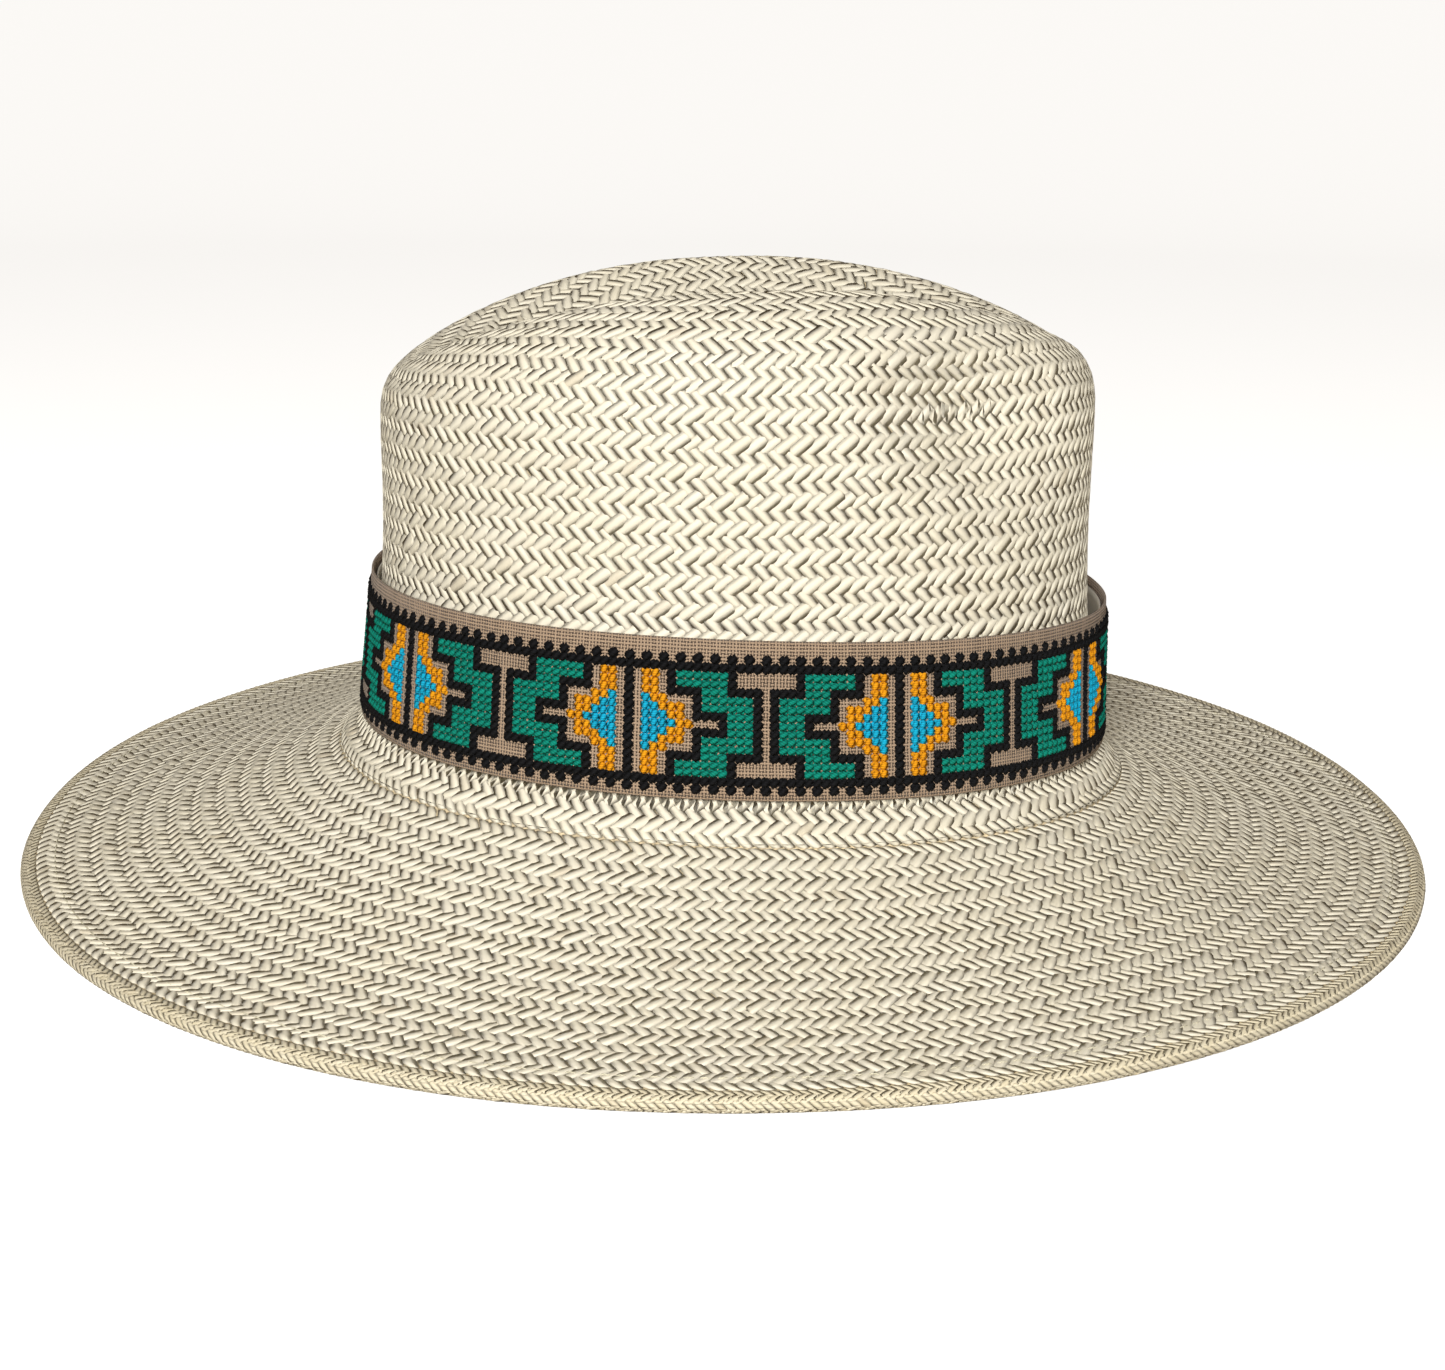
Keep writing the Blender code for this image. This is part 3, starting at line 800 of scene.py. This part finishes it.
class Nodes:
    """A new material and the few ways its nodes are made."""

    def __init__(self, name):
        self.material = bpy.data.materials.new(name)
        self.material.use_nodes = True
        self.tree = self.material.node_tree
        self.shader = self.tree.nodes["Principled BSDF"]

    def add(self, kind, settings=None, sockets=None, output=0):
        """A node: its settings first, then its sockets' values or links."""
        node = self.tree.nodes.new(kind)
        for title, setting in (settings or {}).items():
            setattr(node, title, setting)
        for title, given in (sockets or {}).items():
            self.put(node.inputs[title], given)
        return Value(self, node.outputs[output])

    def put(self, socket, given):
        """Links a value to a socket, or sets a constant on it."""
        if isinstance(given, Value):
            self.tree.links.new(given.socket, socket)
        else:
            socket.default_value = given

    def mix(self, share, first, second):
        """Two colours mixed by a share."""
        settings = {"data_type": "RGBA", "clamp_factor": True}
        sockets = {0: share, 6: rgba(first), 7: rgba(second)}
        return self.add("ShaderNodeMix", settings, sockets, output=2)

    def attribute(self, title):
        return self.add("ShaderNodeAttribute", {"attribute_name": title}, output="Fac")

    def uv(self, title):
        """The two parts of a UV map."""
        place = self.add("ShaderNodeUVMap", {"uv_map": title})
        parts = self.add("ShaderNodeSeparateXYZ", None, {0: place})
        return parts, Value(self, parts.socket.node.outputs[1])

    def vector(self, x, y, z=0.0):
        return self.add("ShaderNodeCombineXYZ", None, {0: x, 1: y, 2: z})

    def where(self):
        """Object coordinates."""
        return self.add("ShaderNodeTexCoord", None, None, output="Object")

    def noise(self, place, scale, detail=2.0):
        sockets = {"Vector": place, "Scale": scale, "Detail": detail}
        return self.add("ShaderNodeTexNoise", None, sockets)

    def random(self, place):
        return self.add("ShaderNodeTexWhiteNoise", None, {"Vector": place})

    def bump(self, height, distance, strength=1.0):
        sockets = {"Height": height, "Distance": distance, "Strength": strength}
        return self.add("ShaderNodeBump", None, sockets)

    def finish(self, **sockets):
        """Sets the shader's sockets, named with underscores, and gives the material."""
        for title, given in sockets.items():
            self.put(self.shader.inputs[title.replace("_", " ")], rgba(given))
        return self.material


def rgba(given):
    """A plain colour as the four numbers a colour socket holds; anything else unchanged."""
    if isinstance(given, (Value, float, int)):
        return given
    return (*tuple(given)[:3], 1.0)


# ---------------------------------------------------------------- finishes


def straw_finish(name, light, warm):
    """Toquilla leaf: streaks along the strand, with painted shade on the long edges and at the
    tucked ends.
    """
    n = Nodes(name)
    along, across = n.uv("strand")
    tone = n.attribute("tone")
    streak = n.noise(n.vector(along * 1.5, across * 9.0, tone * 90.0), 3.0, 3.0)
    patch = n.noise(n.where(), 26.0, 2.0)
    shade = tone * 0.55 + streak * 0.35 + patch * 0.5 - 0.2
    leaf = n.mix(shade, light, warm)
    # Painted shade: the leaf darkens towards its long edges and its tucked ends, where its
    # neighbours meet it. The same dark colour also marks the random flecks below.
    edge = ((across - 0.5).away() * 2.0).between(0.55, 1.0)
    tucked_end_shade = ((along - 0.5).away() * 2.0).between(0.74, 0.98)
    shadow = (edge * 0.08).larger(tucked_end_shade * 0.20)
    dark = [0.52 * warm[0], 0.44 * warm[1], 0.34 * warm[2]]
    leaf = n.mix(shadow, leaf, dark)
    fleck = n.random(n.vector(tone * 731.0, 0.0)).between(0.965, 1.0)
    leaf = n.mix(fleck * 0.35, leaf, dark)
    return n.finish(
        Base_Color=leaf,
        Roughness=streak * 0.2 + 0.42,
        Normal=n.bump(streak, 0.00012, 0.6),
        Specular_IOR_Level=0.42,
        Sheen_Weight=0.08,
        Sheen_Roughness=0.5,
    )


def bed_finish(name, dark, light):
    """Straw seen between the leaves: dull, darkened as painted shade, with a fine crossed grain.
    """
    n = Nodes(name)
    place = n.where()
    grain = n.noise(place, 900.0, 2.0)
    patch = n.noise(place, 40.0, 2.0)
    base = n.mix((grain * 0.6 + patch * 0.4).between(0.35, 0.75), dark, light)
    return n.finish(
        Base_Color=base, Roughness=grain * 0.1 + 0.75, Normal=n.bump(grain, 0.0002, 0.5)
    )


def linen_finish():
    """Open plain weave: round threads both ways that pass over and under by turns."""
    n = Nodes("linen_cloth")
    colours = bpy.context.scene.hat_colours
    pitch = bpy.context.scene.hat_band.thread_pitch
    around, up = n.uv("cloth")
    drift = n.noise(n.vector(around * 60.0, up * 60.0), 3.0, 2.0)
    x = around / pitch + drift * 0.5
    y = up / pitch + drift * 0.4
    across = 1.0 - ((x.fraction() - 0.5).away() * 2.0) ** 2.0
    down = 1.0 - ((y.fraction() - 0.5).away() * 2.0) ** 2.0
    swap = (x * math.pi).wave() * (y * math.pi).wave()
    thick_x = n.random(n.vector(x.floor(), 3.0)) * 0.3
    thick_y = n.random(n.vector(7.0, y.floor())) * 0.3
    upright = across * (0.72 + thick_x + swap * 0.28)
    level = down * (0.72 + thick_y - swap * 0.28)
    height = upright.larger(level)
    thread = n.mix(
        n.random(n.vector(x.floor(), y.floor())) * 0.35,
        colours.linen_light,
        [0.66 * part for part in colours.linen_light],
    )
    fibre = n.noise(n.vector(around * 4000.0, up * 4000.0), 1.0, 2.0)
    thread = n.mix(fibre * 0.25, thread, [min(1.25 * part, 1.0) for part in colours.linen_light])
    # Painted shade: the holes between the threads and the threads' low sides take the hole colour.
    base = n.mix(height.between(0.60, 0.90), colours.linen_hole_shade, thread)
    return n.finish(
        Base_Color=base,
        Roughness=fibre * 0.1 + 0.82,
        Normal=n.bump(height, 0.0003, 0.9),
        Sheen_Weight=0.15,
        Sheen_Roughness=0.5,
    )


def yarn_finish(name, shade):
    """Twisted cotton: slanting plies, with painted shade in the grooves, painted light on the
    crests, and painted shade at the tucked ends.
    """
    n = Nodes(name)
    along, across = n.uv("strand")
    tone = n.attribute("tone")
    twist = (along * 20.0 + across * 7.0 + tone * 40.0).wave() * 0.5 + 0.5
    fuzz = n.noise(n.vector(along * 9.0, across * 9.0, tone * 60.0), 2.0, 3.0)
    # Painted shade and light: the grooves between the plies are darker and the crests lighter,
    # mixed with random fuzz and tone.
    bright = [min(part * 1.35, 1.0) for part in shade]
    dim = [part * 0.5 for part in shade]
    base = n.mix(twist * 0.45 + fuzz * 0.3 + tone * 0.25, dim, bright)
    # Painted shade at the tucked ends, where the yarn goes in.
    tucked_end_shade = ((along - 0.5).away() * 2.0).between(0.7, 1.0)
    base = n.mix(tucked_end_shade * 0.5, base, [part * 0.25 for part in shade])
    return n.finish(
        Base_Color=base,
        Roughness=fuzz * 0.15 + 0.72,
        Normal=n.bump(twist * 0.7 + fuzz * 0.3, 0.00015, 0.8),
        Specular_IOR_Level=0.2,
    )


def tape_finish():
    """Grosgrain: fine threads along each rib, with slightly darker lines of painted shade between
    the threads.
    """
    n = Nodes("grosgrain")
    shade = bpy.context.scene.hat_colours.tape
    around, up = n.uv("cloth")
    thread = (up * 9000.0).wave() * 0.5 + 0.5
    wear = n.noise(n.where(), 30.0, 3.0)
    fine = n.noise(n.vector(around * 3000.0, up * 3000.0), 1.0, 2.0)
    # Painted shade in the lines between the threads, mixed with random wear and a fine grain.
    base = n.mix(thread * 0.3 + wear * 0.5 + fine * 0.2, shade, [0.7 * part for part in shade])
    return n.finish(
        Base_Color=base,
        Roughness=fine * 0.15 + 0.65,
        Normal=n.bump(thread, 0.00006, 0.5),
        Sheen_Weight=0.2,
    )


def plain_finish(name, shade, roughness, grain, metallic=0.0):
    """A small part's finish: its colour broken by a grain, with matching gloss."""
    n = Nodes(name)
    place = n.where()
    fine = n.noise(place, grain, 3.0)
    broad = n.noise(place, grain / 20, 2.0)
    base = n.mix(fine * 0.5 + broad * 0.4, shade, [0.62 * part for part in shade])
    return n.finish(
        Base_Color=base,
        Roughness=fine * 0.2 + roughness,
        Metallic=metallic,
        Normal=n.bump(fine, 0.0001, 0.4),
    )


# ---------------------------------------------------------------- pieces


BED_COLUMNS = 288


class HatStraw(bpy.types.Operator):
    """Make the straw: a bed in painted shade, and plaited leaves over all of it"""

    bl_idname = "hat.straw"
    bl_label = "Plaited straw"

    def execute(self, context):
        shape = context.scene.hat_shape
        plait = context.scene.hat_plait
        colours = context.scene.hat_colours
        straw = straw_finish("plaited_straw", colours.straw_light, colours.straw_warm)
        rolled = straw_finish("rolled_straw", colours.straw_edge, colours.straw_warm)
        bed = bed_finish("straw_bed", colours.straw_bed, [2.2 * p for p in colours.straw_bed])
        crown = crown_skin()
        brim = brim_skin(plait.edge_start)
        under = brim_skin(shape.hem_width).inner(shape.straw)
        edge = edge_skin(plait.edge_start)
        hem = hem_skin()
        self.add_bed(crown, brim, edge, hem, under, bed)
        pieces = (
            ("crown_plait", crown, 11),
            ("brim_plait", brim, 12),
            ("brim_underside_plait", under, 13),
            ("crown_lining_plait", crown.inner(shape.straw), 14),
            ("hem_plait", hem, 15),
        )
        for name, skin, seed in pieces:
            finished(add_plait(name, skin, plait.pitch, straw, seed), "hat", "straw")
        rolled_edge = add_plait(
            "rolled_edge_plait", edge, plait.edge_pitch, rolled, 16, -plait.top
        )
        finished(rolled_edge, "hat", "straw")
        return {"FINISHED"}

    def add_bed(self, crown, brim, edge, hem, under, finish):
        """One closed shell just under the leaves, inside and out."""
        shape = bpy.context.scene.hat_shape
        depth = bpy.context.scene.hat_plait.bed
        around = np.arange(BED_COLUMNS)[None] / BED_COLUMNS
        runs = (
            (crown, np.linspace(0.0, 1.0, 150)[1:]),
            (brim, 1 - np.linspace(1.0, 0.0, 44)[1:] ** 1.5),
            (edge, np.linspace(0.0, 1.0, 14)[1:]),
            (hem, np.linspace(0.0, 1.0, 5)[1:]),
            (under, np.linspace(1.0, 0.0, 36)),
            (crown.inner(shape.straw), np.linspace(1.0, 0.0, 86)[1:-1]),
        )
        rows = np.vstack([skin.at(around, along[:, None], depth) for skin, along in runs])
        count = rows.shape[1]
        quads, places = grid_faces(*rows.shape[:2])
        poles = np.array([rows[0].mean(axis=0), rows[-1].mean(axis=0)])
        first = np.arange(count)
        after = (first + 1) % count
        pole = np.full(count, rows.shape[0] * count)
        last = (rows.shape[0] - 1) * count
        fans = [np.stack([pole, first, after], axis=-1)]
        fans.append(np.stack([pole + 1, last + after, last + first], axis=-1))
        middle = np.full(count, 0.5)
        ends = []
        for row in (0.0, rows.shape[0] - 1.0):
            level = np.full(count, row)
            corners = [np.stack([first + part, level], axis=-1) for part in (middle, 0, 1)]
            ends.append(np.stack(corners, axis=1))
        points = np.vstack([rows.reshape(-1, 3), poles])
        faces, places = outwards(points, [quads, *fans], [places, *ends])
        unit = 0.998 / np.array([count + 0.0, rows.shape[0] - 1.0])
        maps = {"OFBake": [0.001 + part * unit for part in places]}
        shell = add_mesh("straw_bed", points, faces, finish, maps)
        finished(shell, "hat", "straw", "straw_body")


class HatSewing(bpy.types.Operator):
    """Make the sewn line of the hem and the sewn line of the sweatband"""

    bl_idname = "hat.sewing"
    bl_label = "Sewn lines"

    def execute(self, context):
        shape = context.scene.hat_shape
        size = context.scene.hat_sweatband
        shade = context.scene.hat_colours.thread
        thread = yarn_finish("sewing_thread", shade)
        first = shape.brim_half_length - shape.foot_half_length - shape.break_out
        skin = brim_skin(shape.fold_radius)
        along = (first - shape.hem_thread_in) / (first - shape.fold_radius)
        line = add_stitch_line(
            "hem_stitches", skin, along, size.stitch_pitch, size.thread / 2, thread, 21
        )
        finished(line, "hat", "sewing_thread", "brim_stitching")
        wall = inside_skin(shape.gap + size.thick)
        along = 1 - (size.seam_height + shape.break_up) / size.height
        line = add_stitch_line(
            "sweatband_stitches", wall, along, size.stitch_pitch, size.thread / 2, thread, 22
        )
        finished(line, "hat", "sewing_thread", "sweatband_stitching")
        return {"FINISHED"}


# Points round the hat for each rib of the tape, and the length of the strip over its join
RIB_POINTS = 3
JOIN_LENGTH = 0.0170
# Shares of the way round at the hat's rear and at the middle of its right side
REAR = 0.5
RIGHT = 0.75


class HatSweatband(bpy.types.Operator):
    """Make the ribbed tape inside the crown and the strip over its join"""

    bl_idname = "hat.sweatband"
    bl_label = "Sweatband"

    def execute(self, context):
        shape = context.scene.hat_shape
        size = context.scene.hat_sweatband
        tape = tape_finish()
        girth = float(inside_skin(shape.gap).girth(0.5))
        ribs = round(girth / size.rib_pitch)
        columns = RIB_POINTS * ribs
        rings = Rings(even_turns(columns))
        rib = size.rib_depth * np.cos(2 * math.pi * np.arange(columns) / RIB_POINTS)
        corners = np.array(self.section())
        closed = np.vstack([corners, corners[:1]])
        travelled = np.append(0.0, np.cumsum(np.hypot(*np.diff(closed, axis=0).T)))
        sought = np.linspace(0.0, travelled[-1], 34, endpoint=False)
        insets = np.interp(sought, travelled, closed[:, 0])
        ups = np.interp(sought, travelled, closed[:, 1])
        rows = []
        for inset, up in zip(insets, ups):
            proud = inset > shape.gap + size.thick / 2
            rows.append(rings.inside(inset + rib * proud, up))
        item = add_loop("sweatband_tape", rows, tape, scale=(girth, 2 * size.height))
        finished(item, "hat", "sweatband_tape", "sweatband")
        strip = self.add_strip(tape)
        return {"FINISHED"}

    def section(self):
        """Corners (inset, up) of a tall leaf turned outwards round its reed below."""
        shape = bpy.context.scene.hat_shape
        size = bpy.context.scene.hat_sweatband
        back = shape.gap
        face = back + size.thick
        pocket = size.reed_radius + shape.gap
        middle = face + pocket
        centre = size.thick + pocket
        outer = pocket + size.thick
        free = size.turn + shape.break_up
        corners = [(back, size.height), (face, size.height), (face, free)]
        corners.append((face + pocket, size.turn + size.thick))
        for degrees in range(0, -181, -20):
            bend = math.radians(degrees)
            corners.append((middle + outer * math.cos(bend), centre + centre * math.sin(bend)))
        corners += [(back, size.turn), (face, size.turn)]
        for degrees in range(-180, 1, 20):
            bend = math.radians(degrees)
            corners.append((middle + pocket * math.cos(bend), centre + pocket * math.sin(bend)))
        corners += [(face + shape.gap, size.turn + size.thick), (back, free)]
        return corners

    def add_strip(self, finish):
        """A slab over the join: its face is ribbed by a cosine across."""
        shape = bpy.context.scene.hat_shape
        size = bpy.context.scene.hat_sweatband
        near = shape.gap + size.thick + shape.gap
        skin = inside_skin(near)
        girth = float(skin.girth(0.5))
        low = size.seam_height + shape.break_up + size.thread + 2 * shape.gap
        high = size.height - size.tape_below_top
        half = size.tape_half_width
        around = REAR + np.linspace(-1, 1, 49)[None] * half / girth
        along = 1 - np.linspace(high, low, 13)[:, None] / size.height
        rib = 0.5 * size.rib_depth * np.cos(np.linspace(0, 22 * math.pi, 49))[None]
        face = skin.at(around, along, size.thread + rib)
        back = skin.at(around, along, 0.0)
        flat = (2 * half, JOIN_LENGTH)
        item = add_slab("sweatband_join_tape", face, back, finish, flat)
        return finished(item, "hat", "sweatband_tape", "sweatband_seam_tape")


def add_slab(name, face, back, finish, size):
    """A closed slab between two grids of the same shape, walled round their borders."""
    rows, columns = face.shape[:2]
    row, column = np.meshgrid(np.arange(rows - 1), np.arange(columns - 1), indexing="ij")
    row = row.ravel()[:, None] + np.array([0, 1, 1, 0])
    column = column.ravel()[:, None] + np.array([0, 0, 1, 1])
    front = row * columns + column
    rear = (front + rows * columns)[:, ::-1]
    index = np.arange(rows * columns).reshape(rows, columns)
    border = np.concatenate([index[0], index[1:, -1], index[-1, -2::-1], index[-2:0:-1, 0]])
    after = np.roll(border, -1)
    wall = np.stack([border, after, after + rows * columns, border + rows * columns], axis=-1)
    points = np.vstack([face.reshape(-1, 3), back.reshape(-1, 3)])
    place = np.stack([column / (columns - 1), row / (rows - 1)], axis=-1)
    edge = [(border % columns) / (columns - 1), (border // columns) / (rows - 1)]
    flat = np.stack(edge, axis=-1)
    sides = np.stack([flat, np.roll(flat, -1, axis=0)] * 2, axis=1)[:, [0, 1, 3, 2]]
    places = [place, place[:, ::-1], sides]
    faces, places = outwards(points, [front, rear, wall], places)
    maps = {"cloth": [part * np.array(size) for part in places]}
    return add_mesh(name, points, faces, finish, maps)


# One letter a cell, from the bar in the middle of an eye to the stem of an upright:
# K black, L bare linen, O orange, B blue, T teal. Rows from the border to the middle.
MOTIF = (
    "KLOOLKTTTTTTKLLLL",
    "KLOOLKTTTTTTKLLLL",
    "KLOOLKKKKTTTKKKKL",
    "KLBOOLLLKTTTTTTKL",
    "KLBBOOOLKTTTTTTKL",
    "KLBBBOOLKKKKTTTKL",
    "KLBBBBOOLLLKTTTKL",
)
YARNS = {"K": "black", "T": "teal", "O": "orange", "B": "blue"}
# Shares of a cell's width and height that the upper leg of each yarn spans
LEG_SLANTS = {
    "black": (1.0, 1.0),
    "teal": (1.06, 0.55),
    "orange": (0.5, 1.06),
    "blue": (0.5, 1.06),
}
# Crests of the upper and lower leg over the linen, their edges' fall, and their sunk ends
LEG_CRESTS = (0.00082, 0.00055)
LEG_EDGE_FALL = 0.00034
LEG_END = -0.00015
# How far a leg strays from its cell
LEG_STRAY = 0.00006
CLOTH_COLUMNS = 480
CLOTH_ROWS = 22


class HatBand(bpy.types.Operator):
    """Make the linen band, its stiffener and its cross-stitch"""

    bl_idname = "hat.band"
    bl_label = "Embroidered band"

    def execute(self, context):
        band = context.scene.hat_band
        colours = context.scene.hat_colours
        lining, linen, face = band_layers()
        stiffener = plain_finish("band_stiffener", colours.stiffener, 0.8, 1400.0)
        cloth = linen_finish()
        inner = self.add_layer(
            "stiffener", lining, band.lining, band.height - band.lining_short, stiffener
        )
        finished(inner, "band", "band_stiffener", "band_lining")
        outer = self.add_layer("linen_cloth", linen, band.linen, band.height, cloth)
        finished(outer, "band", "linen", "linen_band")
        skin = band_skin(face)
        stitches = self.add_stitches(skin)
        girth = float(skin.girth(0.5))
        return {"FINISHED"}

    def add_layer(self, name, out, thick, height, finish):
        """A thin closed ring of cloth: up its outer face, and down its inner face."""
        rings = Rings(even_turns(CLOTH_COLUMNS))
        ups = np.linspace(0.0, height, CLOTH_ROWS)
        rows = [rings.band(out + thick, up) for up in ups]
        rows += [rings.band(out, up) for up in ups[::-1]]
        girth = float(band_skin(out).girth(0.5))
        return add_loop(name, rows, finish, scale=(girth, 2 * height))

    def chart(self, girth):
        """Letter of every cell: its (column, row) and letter, whole columns round the band."""
        band = bpy.context.scene.hat_band
        count = int(girth / band.cell) - 1
        period = 2 * (len(MOTIF[0]) - 1)
        first = math.ceil(((band.seam - RIGHT) * girth - band.phase) / band.cell)
        column = first + np.arange(count)
        folded = np.mod(column + period // 2, period)
        folded = np.minimum(folded, period - folded)
        inner = [*MOTIF, *MOTIF[-2::-1]]
        letters = np.array([list(line) for line in inner])[:, folded]
        solid = np.full((1, count), "K")
        teeth = np.where(column % 2 == 0, "K", "L")[None]
        return column, np.vstack([teeth, solid, letters, solid, teeth])

    def add_stitches(self, skin):
        """Two legs a cell, one across the other, with the rising leg on top."""
        band = bpy.context.scene.hat_band
        colours = bpy.context.scene.hat_colours
        girth = float(skin.girth(0.5))
        column, chart = self.chart(girth)
        rows = len(chart)
        rise = band.stitch_height / rows
        pieces = []
        for seed, (letter, title) in enumerate(YARNS.items(), start=31):
            rng = np.random.default_rng(seed)
            row, place = np.nonzero(chart == letter)
            around = RIGHT + (band.phase + column[place] * band.cell) / girth
            up = band.stitch_foot + (row + 0.5) * rise
            centre = np.stack([around, 1 - up / band.height], axis=-1)
            centre = np.concatenate([centre, centre])
            lean = np.repeat([1.0, -1.0], len(row))
            wander = rng.normal(0.0, 1.0, (4, len(lean)))
            level, steep = LEG_SLANTS[title]
            half_level = 0.5 * band.cell * np.where(lean > 0, level, 1.0)
            half_level = half_level * (1 + 0.04 * wander[0])
            half_steep = 0.5 * rise * np.where(lean > 0, steep, 1.0)
            wide = band.yarn_half_width * (1 + 0.05 * wander[1])
            wide = wide / np.hypot(half_level, half_steep)
            axis = np.stack([lean * half_level / girth, -half_steep / band.height], axis=-1)
            cross = np.stack(
                [-wide * half_steep / girth, -lean * wide * half_level / band.height], axis=-1
            )
            jitter = LEG_STRAY * wander[2:]
            centre = centre + np.stack([jitter[0] / girth, jitter[1] / band.height], axis=-1)
            over = np.where(lean > 0, *LEG_CRESTS)
            heights = (over, over - LEG_EDGE_FALL, LEG_END)
            name = "stitches_" + title
            slot = "yarn_" + title
            node = "embroidery_black" if title == "black" else slot
            tone = rng.random(len(lean))
            cotton = yarn_finish("cotton_" + title, getattr(colours, slot))
            item = add_strips(name, skin, centre, axis, cross, heights, tone, cotton)
            pieces.append(finished(item, "band", slot, node))
        return pieces


class HatSmallParts(bpy.types.Operator):
    """Finish the wire in the brim's edge and the reed in the sweatband"""

    bl_idname = "hat.small_parts"
    bl_label = "Wire and reed"

    def execute(self, context):
        colours = context.scene.hat_colours
        wire = plain_finish("spring_steel", colours.wire, 0.3, 2500.0, metallic=1.0)
        reed = plain_finish("clear_plastic", colours.reed, 0.35, 700.0)
        for node, finish in (("brim_wire", wire), ("sweatband_reed", reed)):
            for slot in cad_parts[node].material_slots:
                slot.material = finish
        return {"FINISHED"}


# The bowl's level part and its rim, as radii, its rim's height and its place under the hat
FLOOR_LEVEL = 2.2
FLOOR_RIM = 4.5
FLOOR_HEIGHT = 3.0
FLOOR_BELOW = 0.0003
FLOOR_MIDDLE = 0.05
FLOOR_COLUMNS = 96
# Each light's place and size, and what they aim at
KEY_PLACE, KEY_SIZE = (-0.18, -1.05, 0.53), 0.5
FILL_PLACE, FILL_SIZE = (1.3, -0.9, 0.9), 1.0
LIGHTS_AIM = (0, 0, 0.06)


class HatStage(bpy.types.Operator):
    """Make the floor, the lights and the camera"""

    bl_idname = "hat.stage"
    bl_label = "Stage"

    def execute(self, context):
        settings = context.scene.hat_stage
        self.add_floor(settings)
        self.set_world(settings)
        self.add_light("key_light", KEY_PLACE, KEY_SIZE, settings.key_power)
        self.add_light("fill_light", FILL_PLACE, FILL_SIZE, settings.fill_power)
        self.add_camera(settings)
        context.scene.view_settings.view_transform = "Standard"
        return {"FINISHED"}

    def add_floor(self, settings):
        """A bowl: level to its rim, where it rises with the square of the way out."""
        level = np.linspace(FLOOR_MIDDLE, FLOOR_LEVEL, 12)
        out = np.append(level, np.linspace(FLOOR_LEVEL, FLOOR_RIM, 24)[1:])
        turns = np.linspace(0.0, 2 * math.pi, FLOOR_COLUMNS, endpoint=False)
        past = np.clip(out - FLOOR_LEVEL, 0.0, None) / (FLOOR_RIM - FLOOR_LEVEL)
        heights = FLOOR_HEIGHT * past**2 - FLOOR_BELOW
        parts = ((out, np.cos(turns)), (out, np.sin(turns)), (heights, np.ones(FLOOR_COLUMNS)))
        rows = np.stack([np.outer(*pair) for pair in parts], axis=-1)
        faces, _ = grid_faces(*rows.shape[:2])
        centre = np.arange(FLOOR_COLUMNS)[None]
        n = Nodes("pale_floor")
        cloud = n.noise(n.where(), 1.5, 2.0)
        base = n.mix(cloud * 0.1, settings.floor_tint, [0.97 * p for p in settings.floor_tint])
        finish = n.finish(
            Base_Color=base,
            Roughness=0.9,
            Emission_Color=(1.0, 1.0, 1.0),
            Emission_Strength=settings.floor_glow,
        )
        floor = add_mesh("floor", rows, [faces[:, ::-1], centre], finish)
        floor.visible_diffuse = False
        floor.visible_glossy = False

    def set_world(self, settings):
        world = bpy.data.worlds.new("room")
        world.use_nodes = True
        sky = world.node_tree.nodes["Background"]
        sky.inputs["Color"].default_value = rgba(settings.world_tint)
        sky.inputs["Strength"].default_value = settings.world_strength
        bpy.context.scene.world = world

    def add_light(self, name, place, size, power):
        data = bpy.data.lights.new(name, "AREA")
        data.shape = "DISK"
        data.size = size
        data.energy = power
        item = bpy.data.objects.new(name, data)
        item.location = place
        item.rotation_mode = "QUATERNION"
        aim = Vector(LIGHTS_AIM) - Vector(place)
        item.rotation_quaternion = aim.to_track_quat("-Z", "Y")
        bpy.context.scene.collection.objects.link(item)

    def add_camera(self, settings):
        """Camera on a sphere about its target, turned by its roll about its own line."""
        flat = math.cos(settings.elevation)
        back = Vector(
            (
                math.sin(settings.azimuth) * flat,
                -math.cos(settings.azimuth) * flat,
                math.sin(settings.elevation),
            )
        )
        level = Vector((math.cos(settings.azimuth), math.sin(settings.azimuth), 0.0))
        upright = back.cross(level)
        right = level * math.cos(settings.roll) + upright * math.sin(settings.roll)
        up = back.cross(right)
        data = bpy.data.cameras.new("camera")
        data.lens = settings.lens
        item = bpy.data.objects.new("camera", data)
        target = Vector((settings.target_forward, 0.0, settings.target_height))
        turned = Matrix((right, up, back)).transposed().to_4x4()
        item.matrix_world = Matrix.Translation(target + back * settings.distance) @ turned
        bpy.context.scene.collection.objects.link(item)
        bpy.context.scene.camera = item


class HatPanel(bpy.types.Panel):
    """Buttons for every group of pieces"""

    bl_idname = "VIEW3D_PT_hat"
    bl_label = "Panama Hat"
    bl_space_type = "VIEW_3D"
    bl_region_type = "UI"
    bl_category = "Hat"

    def draw(self, context):
        for operator in OPERATORS:
            self.layout.operator(operator.bl_idname)


GROUPS = {
    "hat_shape": HatShape,
    "hat_plait": PlaitSizes,
    "hat_band": BandSizes,
    "hat_sweatband": SweatbandSizes,
    "hat_colours": HatColours,
    "hat_stage": StageSettings,
}
OPERATORS = (HatStage, HatStraw, HatSewing, HatSweatband, HatBand, HatSmallParts)


def register():
    for item in (*GROUPS.values(), *OPERATORS, HatPanel):
        bpy.utils.register_class(item)
    for title, group in GROUPS.items():
        setattr(bpy.types.Scene, title, bpy.props.PointerProperty(type=group))


def unregister():
    for title in GROUPS:
        delattr(bpy.types.Scene, title)
    for item in (HatPanel, *reversed(OPERATORS), *reversed(GROUPS.values())):
        bpy.utils.unregister_class(item)


def main():
    register()
    for operator in OPERATORS:
        space, title = operator.bl_idname.split(".")
        getattr(getattr(bpy.ops, space), title)()


if __name__ == "__main__":
    main()
